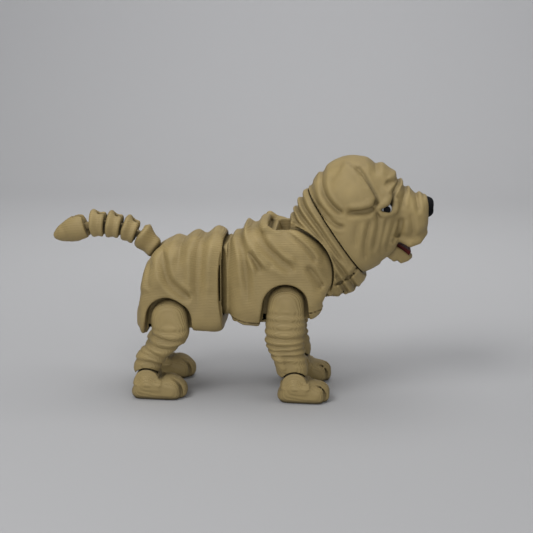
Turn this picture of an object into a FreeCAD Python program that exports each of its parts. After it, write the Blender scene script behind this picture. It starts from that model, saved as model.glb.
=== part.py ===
"""Articulated wrinkled dog: a printed toy whose body, neck, head, legs and tail turn on pins and snap pegs.

+X points to the nose, +Y to the dog's left, +Z up. The origin is on the ground under the middle of the toy.
Every size is a cell of the Sizes sheet, in millimetres or degrees.
"""

import FreeCAD, Part
import Sketcher
import math
import os
import re

App = FreeCAD
V = App.Vector
X_AXIS, Y_AXIS, Z_AXIS = V(1, 0, 0), V(0, 1, 0), V(0, 0, 1)
SIDES = {"right": -1, "left": 1}

doc = App.newDocument("articulated_dog")
sheet = doc.addObject("Spreadsheet::Sheet", "Sizes")
nodes = {}

# ---------------------------------------------------------------- driving dimensions

SIZES = {
    # shared
    "gap": 0.35, "press_gap": 0.02, "pin_play": 0.09, "reach": 60,
    # waist: an upright pin, a boss on the chest and a mouth in the haunch
    "waist_x": -3.7, "boss_radius": 16.8, "boss_low": 42.4, "boss_top": 78.8, "mouth_gap": 0.8,
    "boss_top_rounding": 8.4, "boss_low_rounding": 6.5,
    "waist_tongue_low": 58, "waist_tongue_height": 8, "waist_tongue_width": 8,
    "waist_eye_radius": 4.5, "waist_slot_width": 17.5, "waist_pin_radius": 2,
    "waist_pin_low": 45, "waist_pin_length": 31,
    # neck: a web between the shoulder flaps tilts on a cross pin
    "neck_x": 23.8, "neck_z": 65, "web_half": 11.8, "web_room": 0.8, "web_low": -29, "web_high": 86,
    "neck_swing": 19, "neck_eye_radius": 8, "flap_radius": 21.5, "ruff_radius": 23.2,
    "neck_pin_radius": 2.5, "neck_pin_half": 16, "rim_x": 14.2, "rim_low": 50,
    # head: turns on a peg square to the seam between neck and head
    "seam_x": 48, "seam_z": 83.5, "seam_tilt": 34.8, "throat_cap_drop": 20, "throat_cap_back": 13.6,
    "throat_side_x": 49.2, "throat_side_z": 55.6,
    "head_peg_radius": 3.5, "head_peg_flange": 4.6, "head_peg_flange_length": 2,
    "head_peg_in_neck": 12, "head_peg_in_head": 10,
    # legs: hips and shoulders turn on glued pegs whose flanges sit in a room under the belly cap
    "hip_x": -34, "hip_z": 41.3, "shoulder_x": 23.8, "shoulder_z": 49.5,
    "leg_y": 16, "hip_well_radius": 11.4, "shoulder_well_radius": 11.3, "well_inner": 9.7, "well_flare": 9,
    "leg_peg_radius": 3, "leg_peg_flange": 4.2, "leg_peg_inner": 4.4, "leg_peg_flange_length": 1.3,
    "leg_peg_length": 12.4, "peg_room_half_x": 5.4, "peg_room_half_y": 6, "peg_room_top": 5.2,
    # belly caps
    "fore_cap_x": -3.6, "fore_cap_length": 34.6, "fore_cap_low": 37.4, "fore_cap_top": 43.2,
    "hind_cap_x": -46, "hind_cap_length": 33, "hind_cap_low": 33.4, "hind_cap_top": 36.8,
    "cap_half": 9.1, "cap_rounding": 2.5,
    # ankles
    "hind_ankle_x": -45.2, "fore_ankle_x": 28.4, "ankle_z": 9.5, "ankle_dome_radius": 6.2,
    "ankle_arch_radius": 6.9, "ankle_eye_radius": 4, "ankle_tongue_width": 5, "ankle_neck_half": 2.8,
    "ankle_pin_radius": 0.875, "ankle_pin_length": 10, "dome_half": 6, "instep_radius": 8.6,
    "instep_height": 1,
    # tail
    "tail_pin_radius": 0.875, "tail_pin_length": 9, "tail_pin_depth": 2.2, "tail_eye_radius": 2.2,
    "tail_tongue_width": 3.2, "tail_tongue_root": 1.1, "tail_neck_height": 3.2, "tail_slot_depth": 5,
    "tail_peg_radius": 2.2, "tail_peg_flange": 2.8, "tail_peg_in_link": 4, "tail_peg_in_rump": 7,
    "tail_seat_radius": 7,
    # head details
    "jaw_x": 64.8, "jaw_z": 79.5, "jaw_half": 9.4, "jaw_eye_radius": 3.4, "jaw_pin_radius": 0.875,
    "jaw_pin_half": 13, "mouth_radius": 22, "mouth_half": 10, "mouth_low": -62, "mouth_high": 25,
    "tongue_half": 5.6, "ear_proud": 2.2,
    "eye_x": 71, "eye_z": 98, "eye_inner": 12.6, "eye_length": 5.6, "eye_radius": 3, "eye_rounding": 1.6,
    "pupil_radius": 1.7, "pupil_length": 1.6, "pupil_rounding": 0.5, "eye_hollow_radius": 3.6,
}

# Cross-sections along each lofted skin: place, low, top, half width. The neck's run square to its seam.
CHEST = [(-4.8, 40.2, 80.8, 17.2), (2.8, 37.6, 85.5, 20.3), (10.8, 36.6, 88.8, 21.8), (20.8, 37.6, 90, 22.3),
         (30.8, 39.6, 89, 21.8), (38.8, 42.2, 84, 20), (41.6, 46.4, 80, 18.4)]
HAUNCH = [(-51, 34.5, 45, 12.5), (-48.8, 31.8, 56, 17), (-46, 31.2, 67, 19.4), (-40.2, 32.4, 74.8, 20.7),
          (-32.2, 33.2, 78.2, 21.2), (-21.2, 33.6, 80.4, 21.3), (-13.2, 33.2, 82.2, 21.2),
          (-7.6, 34.6, 81.2, 20.5)]
NECK = [(-25, -24.5, 6.5, 13), (-20, -26, 13, 16), (-15, -28, 19, 18), (-10, -28.8, 22, 19),
        (-5, -28.4, 24.6, 19.5), (-0.2, -26.5, 25.4, 19.4)]
SKULL = [(30.8, 58, 102, 15), (36.8, 58, 110, 18.5), (44.8, 59, 117.8, 20.6), (53.8, 61, 120.6, 21.4),
         (62.8, 64, 119.4, 21), (69.8, 68, 116.6, 18.8), (74.8, 71.5, 113.8, 16.6), (77.8, 76, 109.6, 14)]
MUZZLE = [(66.8, 82, 111, 14), (74.8, 80.2, 109.4, 15.2), (80.8, 79.7, 106.2, 14.6),
          (85.8, 80.2, 103.4, 13.6), (89.8, 83.2, 102.4, 11.6), (92, 87.5, 99, 8)]
# Leg sections, highest first: height, middle x, half length, half width, middle y as a change from leg_y.
HIND_LEG = [(50.4, -34, 2.2, 1.6, -0.3), (48.4, -34, 5.9, 3.6, -0.3), (45.4, -34, 8.4, 4.9, -0.3),
            (41.3, -34, 9.3, 5.3, -0.3), (35, -33.5, 9.4, 5.8, 0), (30, -34.7, 9.2, 6.1, 0.2),
            (25.3, -39.4, 9, 6.1, 0.4), (20.8, -43.2, 8, 6, 0.4), (17, -44.9, 7.1, 5.8, 0.4),
            (12.4, -45.2, 6, 5.5, 0.4)]
FORE_LEG = [(58.6, 23.8, 2.2, 1.6, -0.3), (56.6, 23.8, 5.9, 3.6, -0.3), (53.6, 23.8, 8.4, 4.9, -0.3),
            (49.5, 23.8, 9.3, 5.3, -0.3), (43, 23.6, 9.7, 5.8, 0), (34.6, 23.4, 9.9, 6.2, 0.2),
            (27.5, 23.7, 9.4, 6.2, 0.4), (21.5, 25.8, 8.4, 6, 0.4), (16, 27, 8, 5.8, 0.4),
            (12.4, 28.2, 6.4, 5.5, 0.4)]
# Foot sections, heel to toe: x from the ankle, low, top, half width.
PAW = [(-7.4, 2, 8.5, 4.6), (-5.6, -0.6, 11, 6.3), (-1, -1, 11.8, 7.2), (5.6, -1, 12.3, 7.7),
       (10.5, -1, 13.1, 8), (15, -0.8, 11.8, 7.7), (18.5, 0.2, 8.8, 6.4), (19.9, 2, 6, 4.2)]
# Tail links from the rump out: front face x, z, angle; rear face x, z, angle; radius.
TAIL = [(-42.4, 71.7, 35, -50.6, 79.4, 27, 6.1), (-52.4, 80.4, 20, -58.5, 83, 10, 6.1),
        (-60.1, 83.3, 11, -66.6, 84.5, 5, 6.1), (-68.2, 84.4, 4, -74.7, 84.5, -9, 6.3)]
TAIL_TIP = [(-77.9, 83.4, 5.9, -19), (-80.7, 82.9, 6.6, -19), (-84.7, 81.4, 6.2, -20), (-88.7, 79.9, 5, -20),
            (-92.2, 78.6, 3.2, -20), (-94.4, 77.8, 1.2, -20)]
NOSE = [(87, 93, 99.5, 4), (90.4, 90.9, 101.2, 6.2), (93, 91.6, 100.8, 6.1), (94.6, 93.6, 99.2, 4.4)]
# Side outlines: x and height of each corner.
EAR = [(51, 119.4), (59.4, 114.6), (65.9, 103.2), (64.8, 100.8), (57.8, 98.2), (50.6, 98.3), (43.6, 105.4)]
JAW = [(66, 79.2), (75.7, 78.7), (83.2, 74.2), (84.6, 71.8), (82.8, 69.4), (79, 68.9), (74.6, 70.5),
       (66.4, 77.6)]


def write_cell(row, alias, value):
    """Puts one plain number in the sheet under its alias."""
    sheet.set(f"A{row}", alias)
    sheet.set(f"B{row}", str(value))
    sheet.setAlias(f"B{row}", alias)


def station_cells():
    """Every lofted skin's cross-sections as named cells."""
    tables = {"chest": CHEST, "haunch": HAUNCH, "neck": NECK, "skull": SKULL, "muzzle": MUZZLE, "paw": PAW,
              "hind_leg": HIND_LEG, "fore_leg": FORE_LEG, "tail": TAIL, "tip": TAIL_TIP, "jaw": JAW,
              "ear": EAR, "nose": NOSE}
    for name, rows in tables.items():
        for i, row in enumerate(rows):
            for k, value in enumerate(row):
                yield f"{name}_station{i}_value{k}", value


def fill_sheet():
    cells = list(SIZES.items()) + list(station_cells())
    for row, (alias, value) in enumerate(cells, start=1):
        write_cell(row, alias, value)
    doc.recompute()


def size(alias):
    return float(sheet.get(alias))


def stations(name, count, width):
    """The rows of one lofted skin, read back from the sheet."""
    return [[size(f"{name}_station{i}_value{k}") for k in range(width)] for i in range(count)]


def formula(text):
    """An expression on cell names, with each name pointed at the sheet."""
    return re.sub(r"[a-z]\w*", lambda m: "Sizes." + m.group() if m.group() in SIZES else m.group(), text)


def bind(obj, **properties):
    for name, text in properties.items():
        obj.setExpression(name, formula(str(text)))


def place(obj, x="0", y="0", z="0", axis=Y_AXIS, angle=0.0):
    """Puts an object at a place given by cells, turned by an angle in degrees about an axis."""
    obj.Placement = App.Placement(V(), App.Rotation(axis, angle))
    for name, text in (("x", x), ("y", y), ("z", z)):
        obj.setExpression(f"Placement.Base.{name}", formula(str(text)))
    return obj


# ---------------------------------------------------------------- primitives

def box(name, length, width, height, x, y, z, axis=Y_AXIS, angle=0.0):
    obj = doc.addObject("Part::Box", name)
    bind(obj, Length=length, Width=width, Height=height)
    return place(obj, x, y, z, axis, angle)


def upright(name, radius, height, x, z, y="0"):
    """A cylinder that stands on z."""
    obj = doc.addObject("Part::Cylinder", name)
    bind(obj, Radius=radius, Height=height)
    return place(obj, x, y, z)


def across(name, radius, length, x, z, y="0"):
    """A cylinder along Y, with its middle at y."""
    obj = doc.addObject("Part::Cylinder", name)
    bind(obj, Radius=radius, Height=length)
    return place(obj, x, f"({y}) + ({length}) / 2", z, X_AXIS, 90)


def tilted(name, radius, length, x, z, degrees, back="0"):
    """A cylinder whose axis climbs by an angle from +X, starting back behind x, z."""
    obj = doc.addObject("Part::Cylinder", name)
    bind(obj, Radius=radius, Height=length)
    c, s = math.cos(math.radians(degrees)), math.sin(math.radians(degrees))
    return place(obj, f"({x}) - ({back}) * {c:.6f}", "0", f"({z}) - ({back}) * {s:.6f}", Y_AXIS, 90 - degrees)


def fuse(name, *shapes):
    obj = doc.addObject("Part::MultiFuse", name)
    obj.Shapes = list(shapes)
    return obj


def cut(name, base, *tools):
    """Takes the tools away one after another."""
    for i, tool in enumerate(tools):
        obj = doc.addObject("Part::Cut", name if i == len(tools) - 1 else f"{name}_cut{i}")
        obj.Base = base
        obj.Tool = tool
        base = obj
    return base


def common(name, base, tool):
    obj = doc.addObject("Part::MultiCommon", name)
    obj.Shapes = [base, tool]
    return obj


def node(obj, label):
    """Marks an object as one of the toy's pieces."""
    obj.Label = label
    nodes[label] = obj
    return obj


# ---------------------------------------------------------------- lofted skins

def signed_power(value, power):
    return math.copysign(abs(value) ** power, value)


def section(middle, across_half, across_dir, up_half, up_dir, top_power=2.0, low_power=2.0, start=-90,
            count=16):
    """A closed smooth ring: a superellipse whose upper and lower halves have their own squareness."""
    points = []
    for i in range(count):
        a = math.radians(start) + 2 * math.pi * i / count
        c, s = math.cos(a), math.sin(a)
        power = 2.0 / (top_power if s >= 0 else low_power)
        points.append(middle + across_dir * (across_half * signed_power(c, power))
                      + up_dir * (up_half * signed_power(s, power)))
    curve = Part.BSplineCurve()
    curve.interpolate(Points=points, PeriodicFlag=True)
    return Part.Wire(curve.toShape())


def loft(name, wires):
    obj = doc.addObject("Part::Feature", name)
    obj.Shape = Part.makeLoft(wires, True, False)
    return obj


def body_skin(name, rows, top_power, low_power):
    """A skin whose sections stand across X."""
    wires = [section(V(x, 0, (low + top) / 2), half, Y_AXIS, (top - low) / 2, Z_AXIS, top_power, low_power)
             for x, low, top, half in rows]
    return loft(name, wires)


def leg_skin(name, rows, side):
    """A leg whose sections lie flat, one above the other."""
    wires = []
    for z, x, half_x, half_y, shift in rows:
        y = side * (size("leg_y") + shift)
        wires.append(section(V(x, y, z), half_x, X_AXIS, half_y, Y_AXIS, 2.3, 2.3, 0))
    return loft(name, wires)


# ---------------------------------------------------------------- turned pegs and pins

def origin_plane(body, role):
    return next(f for f in body.Origin.OriginFeatures if f.Role == role)


def pad_disc(body, name, radius, length, start):
    """A round pad on the body's XY plane, from height start."""
    sketch = body.newObject("Sketcher::SketchObject", name + "_sketch")
    sketch.AttachmentSupport = (origin_plane(body, "XY_Plane"), "")
    sketch.MapMode = "FlatFace"
    sketch.addGeometry(Part.Circle(V(0, 0, 0), Z_AXIS, 1), False)
    sketch.addConstraint(Sketcher.Constraint("Coincident", 0, 3, -1, 1))
    sketch.addConstraint(Sketcher.Constraint("Radius", 0, 1))
    sketch.renameConstraint(1, "radius")
    sketch.setExpression("Constraints.radius", formula(radius))
    sketch.setExpression("AttachmentOffset.Base.z", formula(start))
    pad = body.newObject("PartDesign::Pad", name)
    pad.Profile = sketch
    pad.setExpression("Length", formula(length))


def turned(label, *discs):
    """A peg or pin: round pads stacked along its own Z axis, each a radius, a length and a start."""
    body = doc.addObject("PartDesign::Body", label)
    for i, (radius, length, start) in enumerate(discs):
        pad_disc(body, f"{label}_disc{i}", radius, length, start)
    return body


def cross_pin(label, radius, length, x, z, y="0"):
    return node(place(turned(label, (radius, length, f"-({length}) / 2")), x, y, z, X_AXIS, 90), label)


def profile_pad(label, table, count, half):
    """A plate along Y whose side outline has its corners in the sheet."""
    body = doc.addObject("PartDesign::Body", label)
    sketch = body.newObject("Sketcher::SketchObject", label + "_sketch")
    sketch.AttachmentSupport = (origin_plane(body, "XZ_Plane"), "")
    sketch.MapMode = "FlatFace"
    corners = [V(x, z, 0) for x, z in stations(table, count, 2)]
    for i in range(count):
        sketch.addGeometry(Part.LineSegment(corners[i], corners[(i + 1) % count]), False)
    for i in range(count):
        sketch.addConstraint(Sketcher.Constraint("Coincident", i, 2, (i + 1) % count, 1))
    for i in range(count):
        for k, kind in enumerate(("DistanceX", "DistanceY")):
            index = sketch.addConstraint(Sketcher.Constraint(kind, -1, 1, i, 1, corners[i][k]))
            sketch.renameConstraint(index, f"corner{i}_{k}")
            sketch.setExpression(f"Constraints.corner{i}_{k}", f"Sizes.{table}_station{i}_value{k}")
    pad = body.newObject("PartDesign::Pad", label + "_pad")
    pad.Profile = sketch
    pad.Midplane = True
    pad.setExpression("Length", formula(f"2 * {half}"))
    return body


# ---------------------------------------------------------------- shapes shared by several pieces

def sector(name, radius, width, x, z, start, end):
    """A pie slice across Y, between two angles that climb from +X."""
    obj = doc.addObject("Part::Cylinder", name)
    bind(obj, Radius=radius, Height=width, Angle=f"({end}) - ({start})")
    place(obj, x, f"({width}) / 2", z)
    turn = App.Rotation(Y_AXIS, -present(start)) * App.Rotation(X_AXIS, 90)
    obj.Placement = App.Placement(obj.Placement.Base, turn)
    return obj


def present(text):
    """The present value of a sum of cell names, such as "web_low - neck_swing"."""
    signed = text.replace(" - ", " + -").split(" + ")
    return sum(-size(term[1:]) if term.startswith("-") else size(term) for term in signed)


def leg_well(name, x, z, radius, side):
    """Room for one leg in a body shell: a round top over an open slot that widens backwards below."""
    inner = "well_inner" if side > 0 else "-well_inner - reach"
    bowl = across(name + "_bowl", radius, "reach", x, z, f"({inner}) + reach / 2")
    slot = box(name + "_slot", f"2 * {radius}", "reach", "reach", f"{x} - {radius}", inner, f"{z} - reach")
    c, s = "cos(well_flare * 1deg)", "sin(well_flare * 1deg)"
    flare = box(name + "_flare", radius, "reach", "reach", f"{x} - {radius} * {c} - reach * {s}", inner,
                f"{z} + {radius} * {s} - reach * {c}", Y_AXIS, size("well_flare"))
    return bowl, slot, flare


def leg_peg_room(name, x, z):
    """The pegs' bores and the room between them for their flanges."""
    bore = across(name + "_bore", "leg_peg_radius + pin_play", "2 * well_inner + 2", x, z)
    room = box(name + "_room", "2 * peg_room_half_x", "2 * peg_room_half_y", "reach",
               f"{x} - peg_room_half_x", "-peg_room_half_y", f"{z} + peg_room_top - reach")
    return bore, room


def leg_wells(name, x, z, radius):
    tools = []
    for side_name, side in SIDES.items():
        tools += leg_well(f"{name}_{side_name}", x, z, radius, side)
    return tools


def cap_seat(name, prefix):
    """The recess in a shell's underside that its belly cap closes."""
    return box(name, f"{prefix}_length + 2 * gap", "2 * cap_half + 2 * gap", "reach", f"{prefix}_x - gap",
               "-cap_half - gap", f"{prefix}_top - reach")


def belly_cap(label, prefix):
    """A plate with rounded lower edges that closes a shell's underside."""
    plate = box(label + "_plate", f"{prefix}_length", "2 * cap_half", f"{prefix}_top - {prefix}_low",
                f"{prefix}_x", "-cap_half", f"{prefix}_low")
    doc.recompute()
    height = size(f"{prefix}_top")
    edges = [i for i, e in enumerate(plate.Shape.Edges, start=1)
             if e.BoundBox.ZMax < height - 0.1]
    rounds = doc.addObject("Part::Fillet", label)
    rounds.Base = plate
    rounds.Edges = [(i, size("cap_rounding"), size("cap_rounding")) for i in edges]
    return node(rounds, label)


def waist_drum(name, room):
    """The rounded drum at the waist: the chest's boss, or with room around it the haunch's mouth."""
    drum = upright(name + "_drum", f"boss_radius + {room}", f"boss_top - boss_low + 2 * {room}", "waist_x",
                   f"boss_low - {room}")
    doc.recompute()
    extra = size(room) if room in SIZES else 0
    rounds = doc.addObject("Part::Fillet", name)
    rounds.Base = drum
    middle = (size("boss_low") + size("boss_top")) / 2
    rounds.Edges = [(i, rounding + extra, rounding + extra)
                    for i, e in enumerate(drum.Shape.Edges, start=1) if e.BoundBox.ZLength < 0.1
                    for rounding in [size("boss_top_rounding" if e.BoundBox.ZMin > middle
                                          else "boss_low_rounding")]]
    return rounds


# ---------------------------------------------------------------- chest

def front_body():
    skin = body_skin("chest_skin", stations("chest", len(CHEST), 4), 3.2, 5)
    boss = waist_drum("waist_boss", "0")
    whole = fuse("chest_whole", skin, boss)
    slot = box("waist_slot", "boss_radius + waist_eye_radius + gap + 2", "waist_slot_width",
               "waist_tongue_height + 2 * gap", "waist_x - boss_radius - 2", "-waist_slot_width / 2",
               "waist_tongue_low - gap")
    pin_bore = upright("waist_pin_bore", "waist_pin_radius + press_gap", "waist_pin_length + 10",
                       "waist_x", "waist_pin_low - 10")
    web_room = sector("web_room", "flap_radius + 0.1", "2 * web_half + 2 * web_room", "neck_x", "neck_z",
                      "web_low - neck_swing", "web_high + neck_swing")
    eye_room = across("neck_eye_room", "neck_eye_radius + web_room", "2 * web_half + 2 * web_room",
                      "neck_x", "neck_z")
    neck_bore = across("neck_pin_bore", "neck_pin_radius + press_gap", "2 * neck_pin_half + reach",
                       "neck_x", "neck_z", "reach / 2")
    collar = cut("collar_opening",
                 box("collar_block", "reach", "reach", "reach", "rim_x", "-reach / 2", "rim_low"),
                 across("flap_disc", "flap_radius", "reach + 2", "neck_x", "neck_z"))
    throat = box("throat_room", "reach", "2 * web_half + 2 * web_room", "reach", "neck_x + 13.7",
                 "-web_half - web_room", "fore_cap_top")
    seat = cap_seat("fore_cap_seat", "fore_cap")
    bore, room = leg_peg_room("shoulder", "shoulder_x", "shoulder_z")
    wells = leg_wells("shoulder_well", "shoulder_x", "shoulder_z", "shoulder_well_radius")
    node(cut("front_body", whole, slot, pin_bore, web_room, eye_room, neck_bore, collar, throat, bore, room,
             seat, *wells), "front_body")
    belly_cap("front_belly_cap", "fore_cap")
    pin = turned("waist_pin", ("waist_pin_radius", "waist_pin_length", "0"))
    node(place(pin, "waist_x", "0", "waist_pin_low"), "waist_pin")
    cross_pin("neck_pin", "neck_pin_radius", "2 * neck_pin_half", "neck_x", "neck_z")


# ---------------------------------------------------------------- haunch

def rear_body():
    skin = body_skin("haunch_skin", stations("haunch", len(HAUNCH), 4), 3.2, 5)
    mouth = waist_drum("waist_mouth", "mouth_gap")
    front_x, front_z, angle = stations("tail", 1, 3)[0]
    tail_seat = tilted("tail_seat", "tail_seat_radius", "reach", front_x, front_z, 180 - angle, "gap")
    tail_bore = tilted("tail_bore", "tail_peg_radius + pin_play", "tail_peg_in_rump + 3", front_x, front_z,
                       180 - angle, "tail_peg_in_rump")
    tail_room = tilted("tail_room", "tail_peg_flange + gap", "2.5", front_x, front_z, 180 - angle,
                       "tail_peg_in_rump + 0.5")
    seat = cap_seat("hind_cap_seat", "hind_cap")
    bore, room = leg_peg_room("hip", "hip_x", "hip_z")
    wells = leg_wells("hip_well", "hip_x", "hip_z", "hip_well_radius")
    shell = cut("haunch_shell", skin, mouth, tail_seat, tail_bore, tail_room, bore, room, seat, *wells)
    tongue = box("waist_tongue", "boss_radius + mouth_gap + 2", "waist_tongue_width", "waist_tongue_height",
                 "waist_x - boss_radius - mouth_gap - 2", "-waist_tongue_width / 2", "waist_tongue_low")
    eye = upright("waist_eye", "waist_eye_radius", "waist_tongue_height", "waist_x", "waist_tongue_low")
    bored = upright("waist_eye_bore", "waist_pin_radius + pin_play", "waist_tongue_height + 4", "waist_x",
                    "waist_tongue_low - 2")
    lug = cut("waist_lug", fuse("waist_lug_whole", tongue, eye), bored)
    node(fuse("rear_body", shell, lug), "rear_body")
    belly_cap("rear_belly_cap", "hind_cap")


# ---------------------------------------------------------------- neck and head

def seam_frame():
    """The seam's middle, its normal towards the nose and its own upward direction."""
    a = math.radians(size("seam_tilt"))
    seam_middle = V(size("seam_x"), 0, size("seam_z"))
    return seam_middle, V(math.cos(a), 0, math.sin(a)), V(-math.sin(a), 0, math.cos(a))


def seam_box(name, back, front, half, low, high):
    """A box in the seam's frame: back and front along the normal, low and high along the seam."""
    obj = doc.addObject("Part::Box", name)
    bind(obj, Length=f"({front}) - ({back})", Width=f"2 * ({half})", Height=f"({high}) - ({low})")
    c, s = "cos(seam_tilt * 1deg)", "sin(seam_tilt * 1deg)"
    x = f"seam_x + ({back}) * {c} - ({low}) * {s}"
    z = f"seam_z + ({back}) * {s} + ({low}) * {c}"
    obj.Placement = App.Placement(V(), App.Rotation(Y_AXIS, -size("seam_tilt")))
    for axis, text in (("x", x), ("y", f"-({half})"), ("z", z)):
        obj.setExpression(f"Placement.Base.{axis}", formula(text))
    return obj


def seam_peg(name, radius, back, length):
    return tilted(name, radius, length, "seam_x", "seam_z", size("seam_tilt"), back)


def neck_skin():
    """The wrinkled ring between the shoulders and the head."""
    middle, normal, up = seam_frame()
    wires = []
    for along, low, top, half in stations("neck", len(NECK), 4):
        centre = middle + normal * along + up * ((low + top) / 2)
        wires.append(section(centre, half, Y_AXIS, (top - low) / 2, up, 2.3, 2.3, 0))
    return loft("neck_skin", wires)


def neck_upper(skin):
    """The ring with its web and hinge eye, open below for the head's peg."""
    ruff = across("ruff_disc", "ruff_radius", "reach", "neck_x", "neck_z")
    web = sector("neck_web", "ruff_radius + 1.5", "2 * web_half", "neck_x", "neck_z", "web_low", "web_high")
    eye = across("neck_eye", "neck_eye_radius", "2 * web_half", "neck_x", "neck_z")
    bore = across("neck_eye_bore", "neck_pin_radius + pin_play", "reach", "neck_x", "neck_z")
    corners = [box(f"throat_side_{name}", "throat_side_x - 30", "20", "throat_side_z - 30", "30",
                   "web_half" if side > 0 else "-web_half - 20", "30") for name, side in SIDES.items()]
    whole = fuse("neck_joined", cut("neck_ring", skin, ruff, *corners), web, eye)
    zone = seam_box("throat_zone", "-throat_cap_back", "5", "40", "-60", "-throat_cap_drop")
    peg_bore = seam_peg("neck_peg_bore", "head_peg_radius + pin_play", "head_peg_in_neck - 1", "reach")
    peg_slot = seam_box("neck_peg_slot", "-head_peg_in_neck + 1", "5", "head_peg_radius + pin_play",
                        "-throat_cap_drop - 5", "0")
    flange_room = seam_box("neck_flange_room", "-head_peg_in_neck - 0.6", "-head_peg_in_neck + 2.4",
                           "head_peg_flange + gap", "-throat_cap_drop - 5", "head_peg_flange + gap")
    node(cut("neck_upper", whole, bore, zone, peg_bore, peg_slot, flange_room), "neck_upper")


def neck_lower(skin):
    """The throat cap: it closes the neck under the peg, with a rib that holds the peg up."""
    inside = seam_box("throat_cap_zone", "-throat_cap_back + 0.2", "5", "40", "-60", "-throat_cap_drop - 0.2")
    rib = seam_box("throat_cap_rib", "-head_peg_in_neck + 2.8", "-0.3", "head_peg_radius - gap",
                   "-throat_cap_drop - 2", "-head_peg_radius - 0.2")
    node(fuse("neck_lower", common("throat_cap", skin, inside), rib), "neck_lower")


def neck():
    skin = neck_skin()
    neck_upper(skin)
    neck_lower(skin)
    peg = turned("head_peg", ("head_peg_flange", "head_peg_flange_length", "0"),
                 ("head_peg_radius", "head_peg_in_neck + head_peg_in_head", "0"))
    middle, normal, _ = seam_frame()
    base = middle - normal * size("head_peg_in_neck")
    peg.Placement = App.Placement(base, App.Rotation(Y_AXIS, 90 - size("seam_tilt")))
    node(peg, "head_peg")


def mirrored(side, text):
    return text if side > 0 else f"-({text})"


def rounded_disc(name, radius, length, x, z, inner, side, rounding):
    """A disc across Y from inner outwards, with a rounded outer rim."""
    disc = across(name + "_disc", radius, length, x, z, mirrored(side, f"{inner} + ({length}) / 2"))
    doc.recompute()
    outer = max(abs(e.BoundBox.Center.y) for e in disc.Shape.Edges)
    rounds = doc.addObject("Part::Fillet", name)
    rounds.Base = disc
    rounds.Edges = [(i, size(rounding), size(rounding)) for i, e in enumerate(disc.Shape.Edges, start=1)
                    if e.BoundBox.YLength < 0.1 and abs(e.BoundBox.Center.y) > outer - 0.1]
    return rounds


def ears(skull_rows):
    """Both ear flaps: the part of a slightly larger skull inside the ear's side outline."""
    proud = size("ear_proud")
    larger = [(x, low - proud, top + proud / 2, half + proud) for x, low, top, half in skull_rows]
    outline = profile_pad("ear_outline", "ear", len(EAR), "reach / 2")
    return common("ears", outline, body_skin("ear_skin", larger, 2.3, 2.6))


def head_shell():
    rows = stations("skull", len(SKULL), 4)
    skull = body_skin("skull_skin", rows, 2.3, 2.6)
    muzzle = body_skin("muzzle_skin", stations("muzzle", len(MUZZLE), 4), 2.4, 3.0)
    whole = fuse("head_whole", skull, muzzle, ears(rows))
    behind = seam_box("head_rear_trim", "-60", "gap", "40", "-60", "60")
    bore = seam_peg("head_peg_bore", "head_peg_radius + press_gap", "0", "head_peg_in_head")
    mouth = sector("mouth_room", "mouth_radius", "2 * mouth_half", "jaw_x", "jaw_z",
                   "mouth_low", "mouth_high")
    hinge_room = across("jaw_eye_room", "jaw_eye_radius + 0.6", "2 * mouth_half", "jaw_x", "jaw_z")
    pin_bore = across("jaw_pin_bore", "jaw_pin_radius + press_gap", "2 * jaw_pin_half + reach",
                      "jaw_x", "jaw_z", "reach / 2")
    tools = [behind, bore, mouth, hinge_room, pin_bore, nose_form("nose_socket")]
    for name, side in SIDES.items():
        tools.append(across(f"eye_socket_{name}", "eye_radius + press_gap", "eye_length", "eye_x", "eye_z",
                            mirrored(side, "eye_inner + eye_length / 2")))
        tools.append(across(f"eye_hollow_{name}", "eye_hollow_radius", "10", "eye_x", "eye_z",
                            mirrored(side, "eye_inner + eye_length - 1.4 + 5")))
    node(cut("head_shell", whole, *tools), "head_shell")


def nose_form(name):
    return body_skin(name, stations("nose", len(NOSE), 4), 2.3, 2.3)


def face():
    """The nose, the eyes, the jaw on its pin and the tongue."""
    node(nose_form("nose"), "nose")
    for name, side in SIDES.items():
        pupil_inner = "eye_inner + eye_length - pupil_length + 0.3"
        ball = rounded_disc(f"eye_ball_{name}", "eye_radius", "eye_length", "eye_x", "eye_z", "eye_inner",
                            side, "eye_rounding")
        seat = across(f"pupil_seat_{name}", "pupil_radius", "pupil_length", "eye_x + 0.7", "eye_z",
                      mirrored(side, f"{pupil_inner} + pupil_length / 2"))
        node(cut(f"eye_white_{name}", ball, seat), f"eye_white_{name}")
        pupil = rounded_disc(f"pupil_{name}", "pupil_radius", "pupil_length", "eye_x + 0.7", "eye_z",
                             pupil_inner, side, "pupil_rounding")
        node(pupil, f"pupil_{name}")
    blade = profile_pad("jaw_blade", "jaw", len(JAW), "jaw_half")
    eye = across("jaw_eye", "jaw_eye_radius", "2 * jaw_half", "jaw_x", "jaw_z")
    bore = across("jaw_eye_bore", "jaw_pin_radius + pin_play", "reach", "jaw_x", "jaw_z")
    lip = stations("jaw", 3, 2)
    run = V(lip[2][0] - lip[1][0], 0, lip[2][1] - lip[1][1])
    fall = math.degrees(math.atan2(-run.z, run.x))
    trough = box("tongue_seat", run.Length + 3.5, "2 * tongue_half + 0.1", "5", lip[1][0] - 2,
                 "-tongue_half - 0.05", lip[1][1] + 2 * 0.6 - 1.4, Y_AXIS, fall)
    node(cut("lower_jaw", fuse("jaw_joined", blade, eye), bore, trough), "lower_jaw")
    slab = box("tongue", run.Length + 2, "2 * tongue_half", "2.2", lip[1][0] - 1.8, "-tongue_half",
               lip[1][1] + 1.8 * 0.6 - 1.4, Y_AXIS, fall)
    node(slab, "tongue")
    cross_pin("jaw_pin", "jaw_pin_radius", "2 * jaw_pin_half", "jaw_x", "jaw_z")


# ---------------------------------------------------------------- legs and paws

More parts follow.
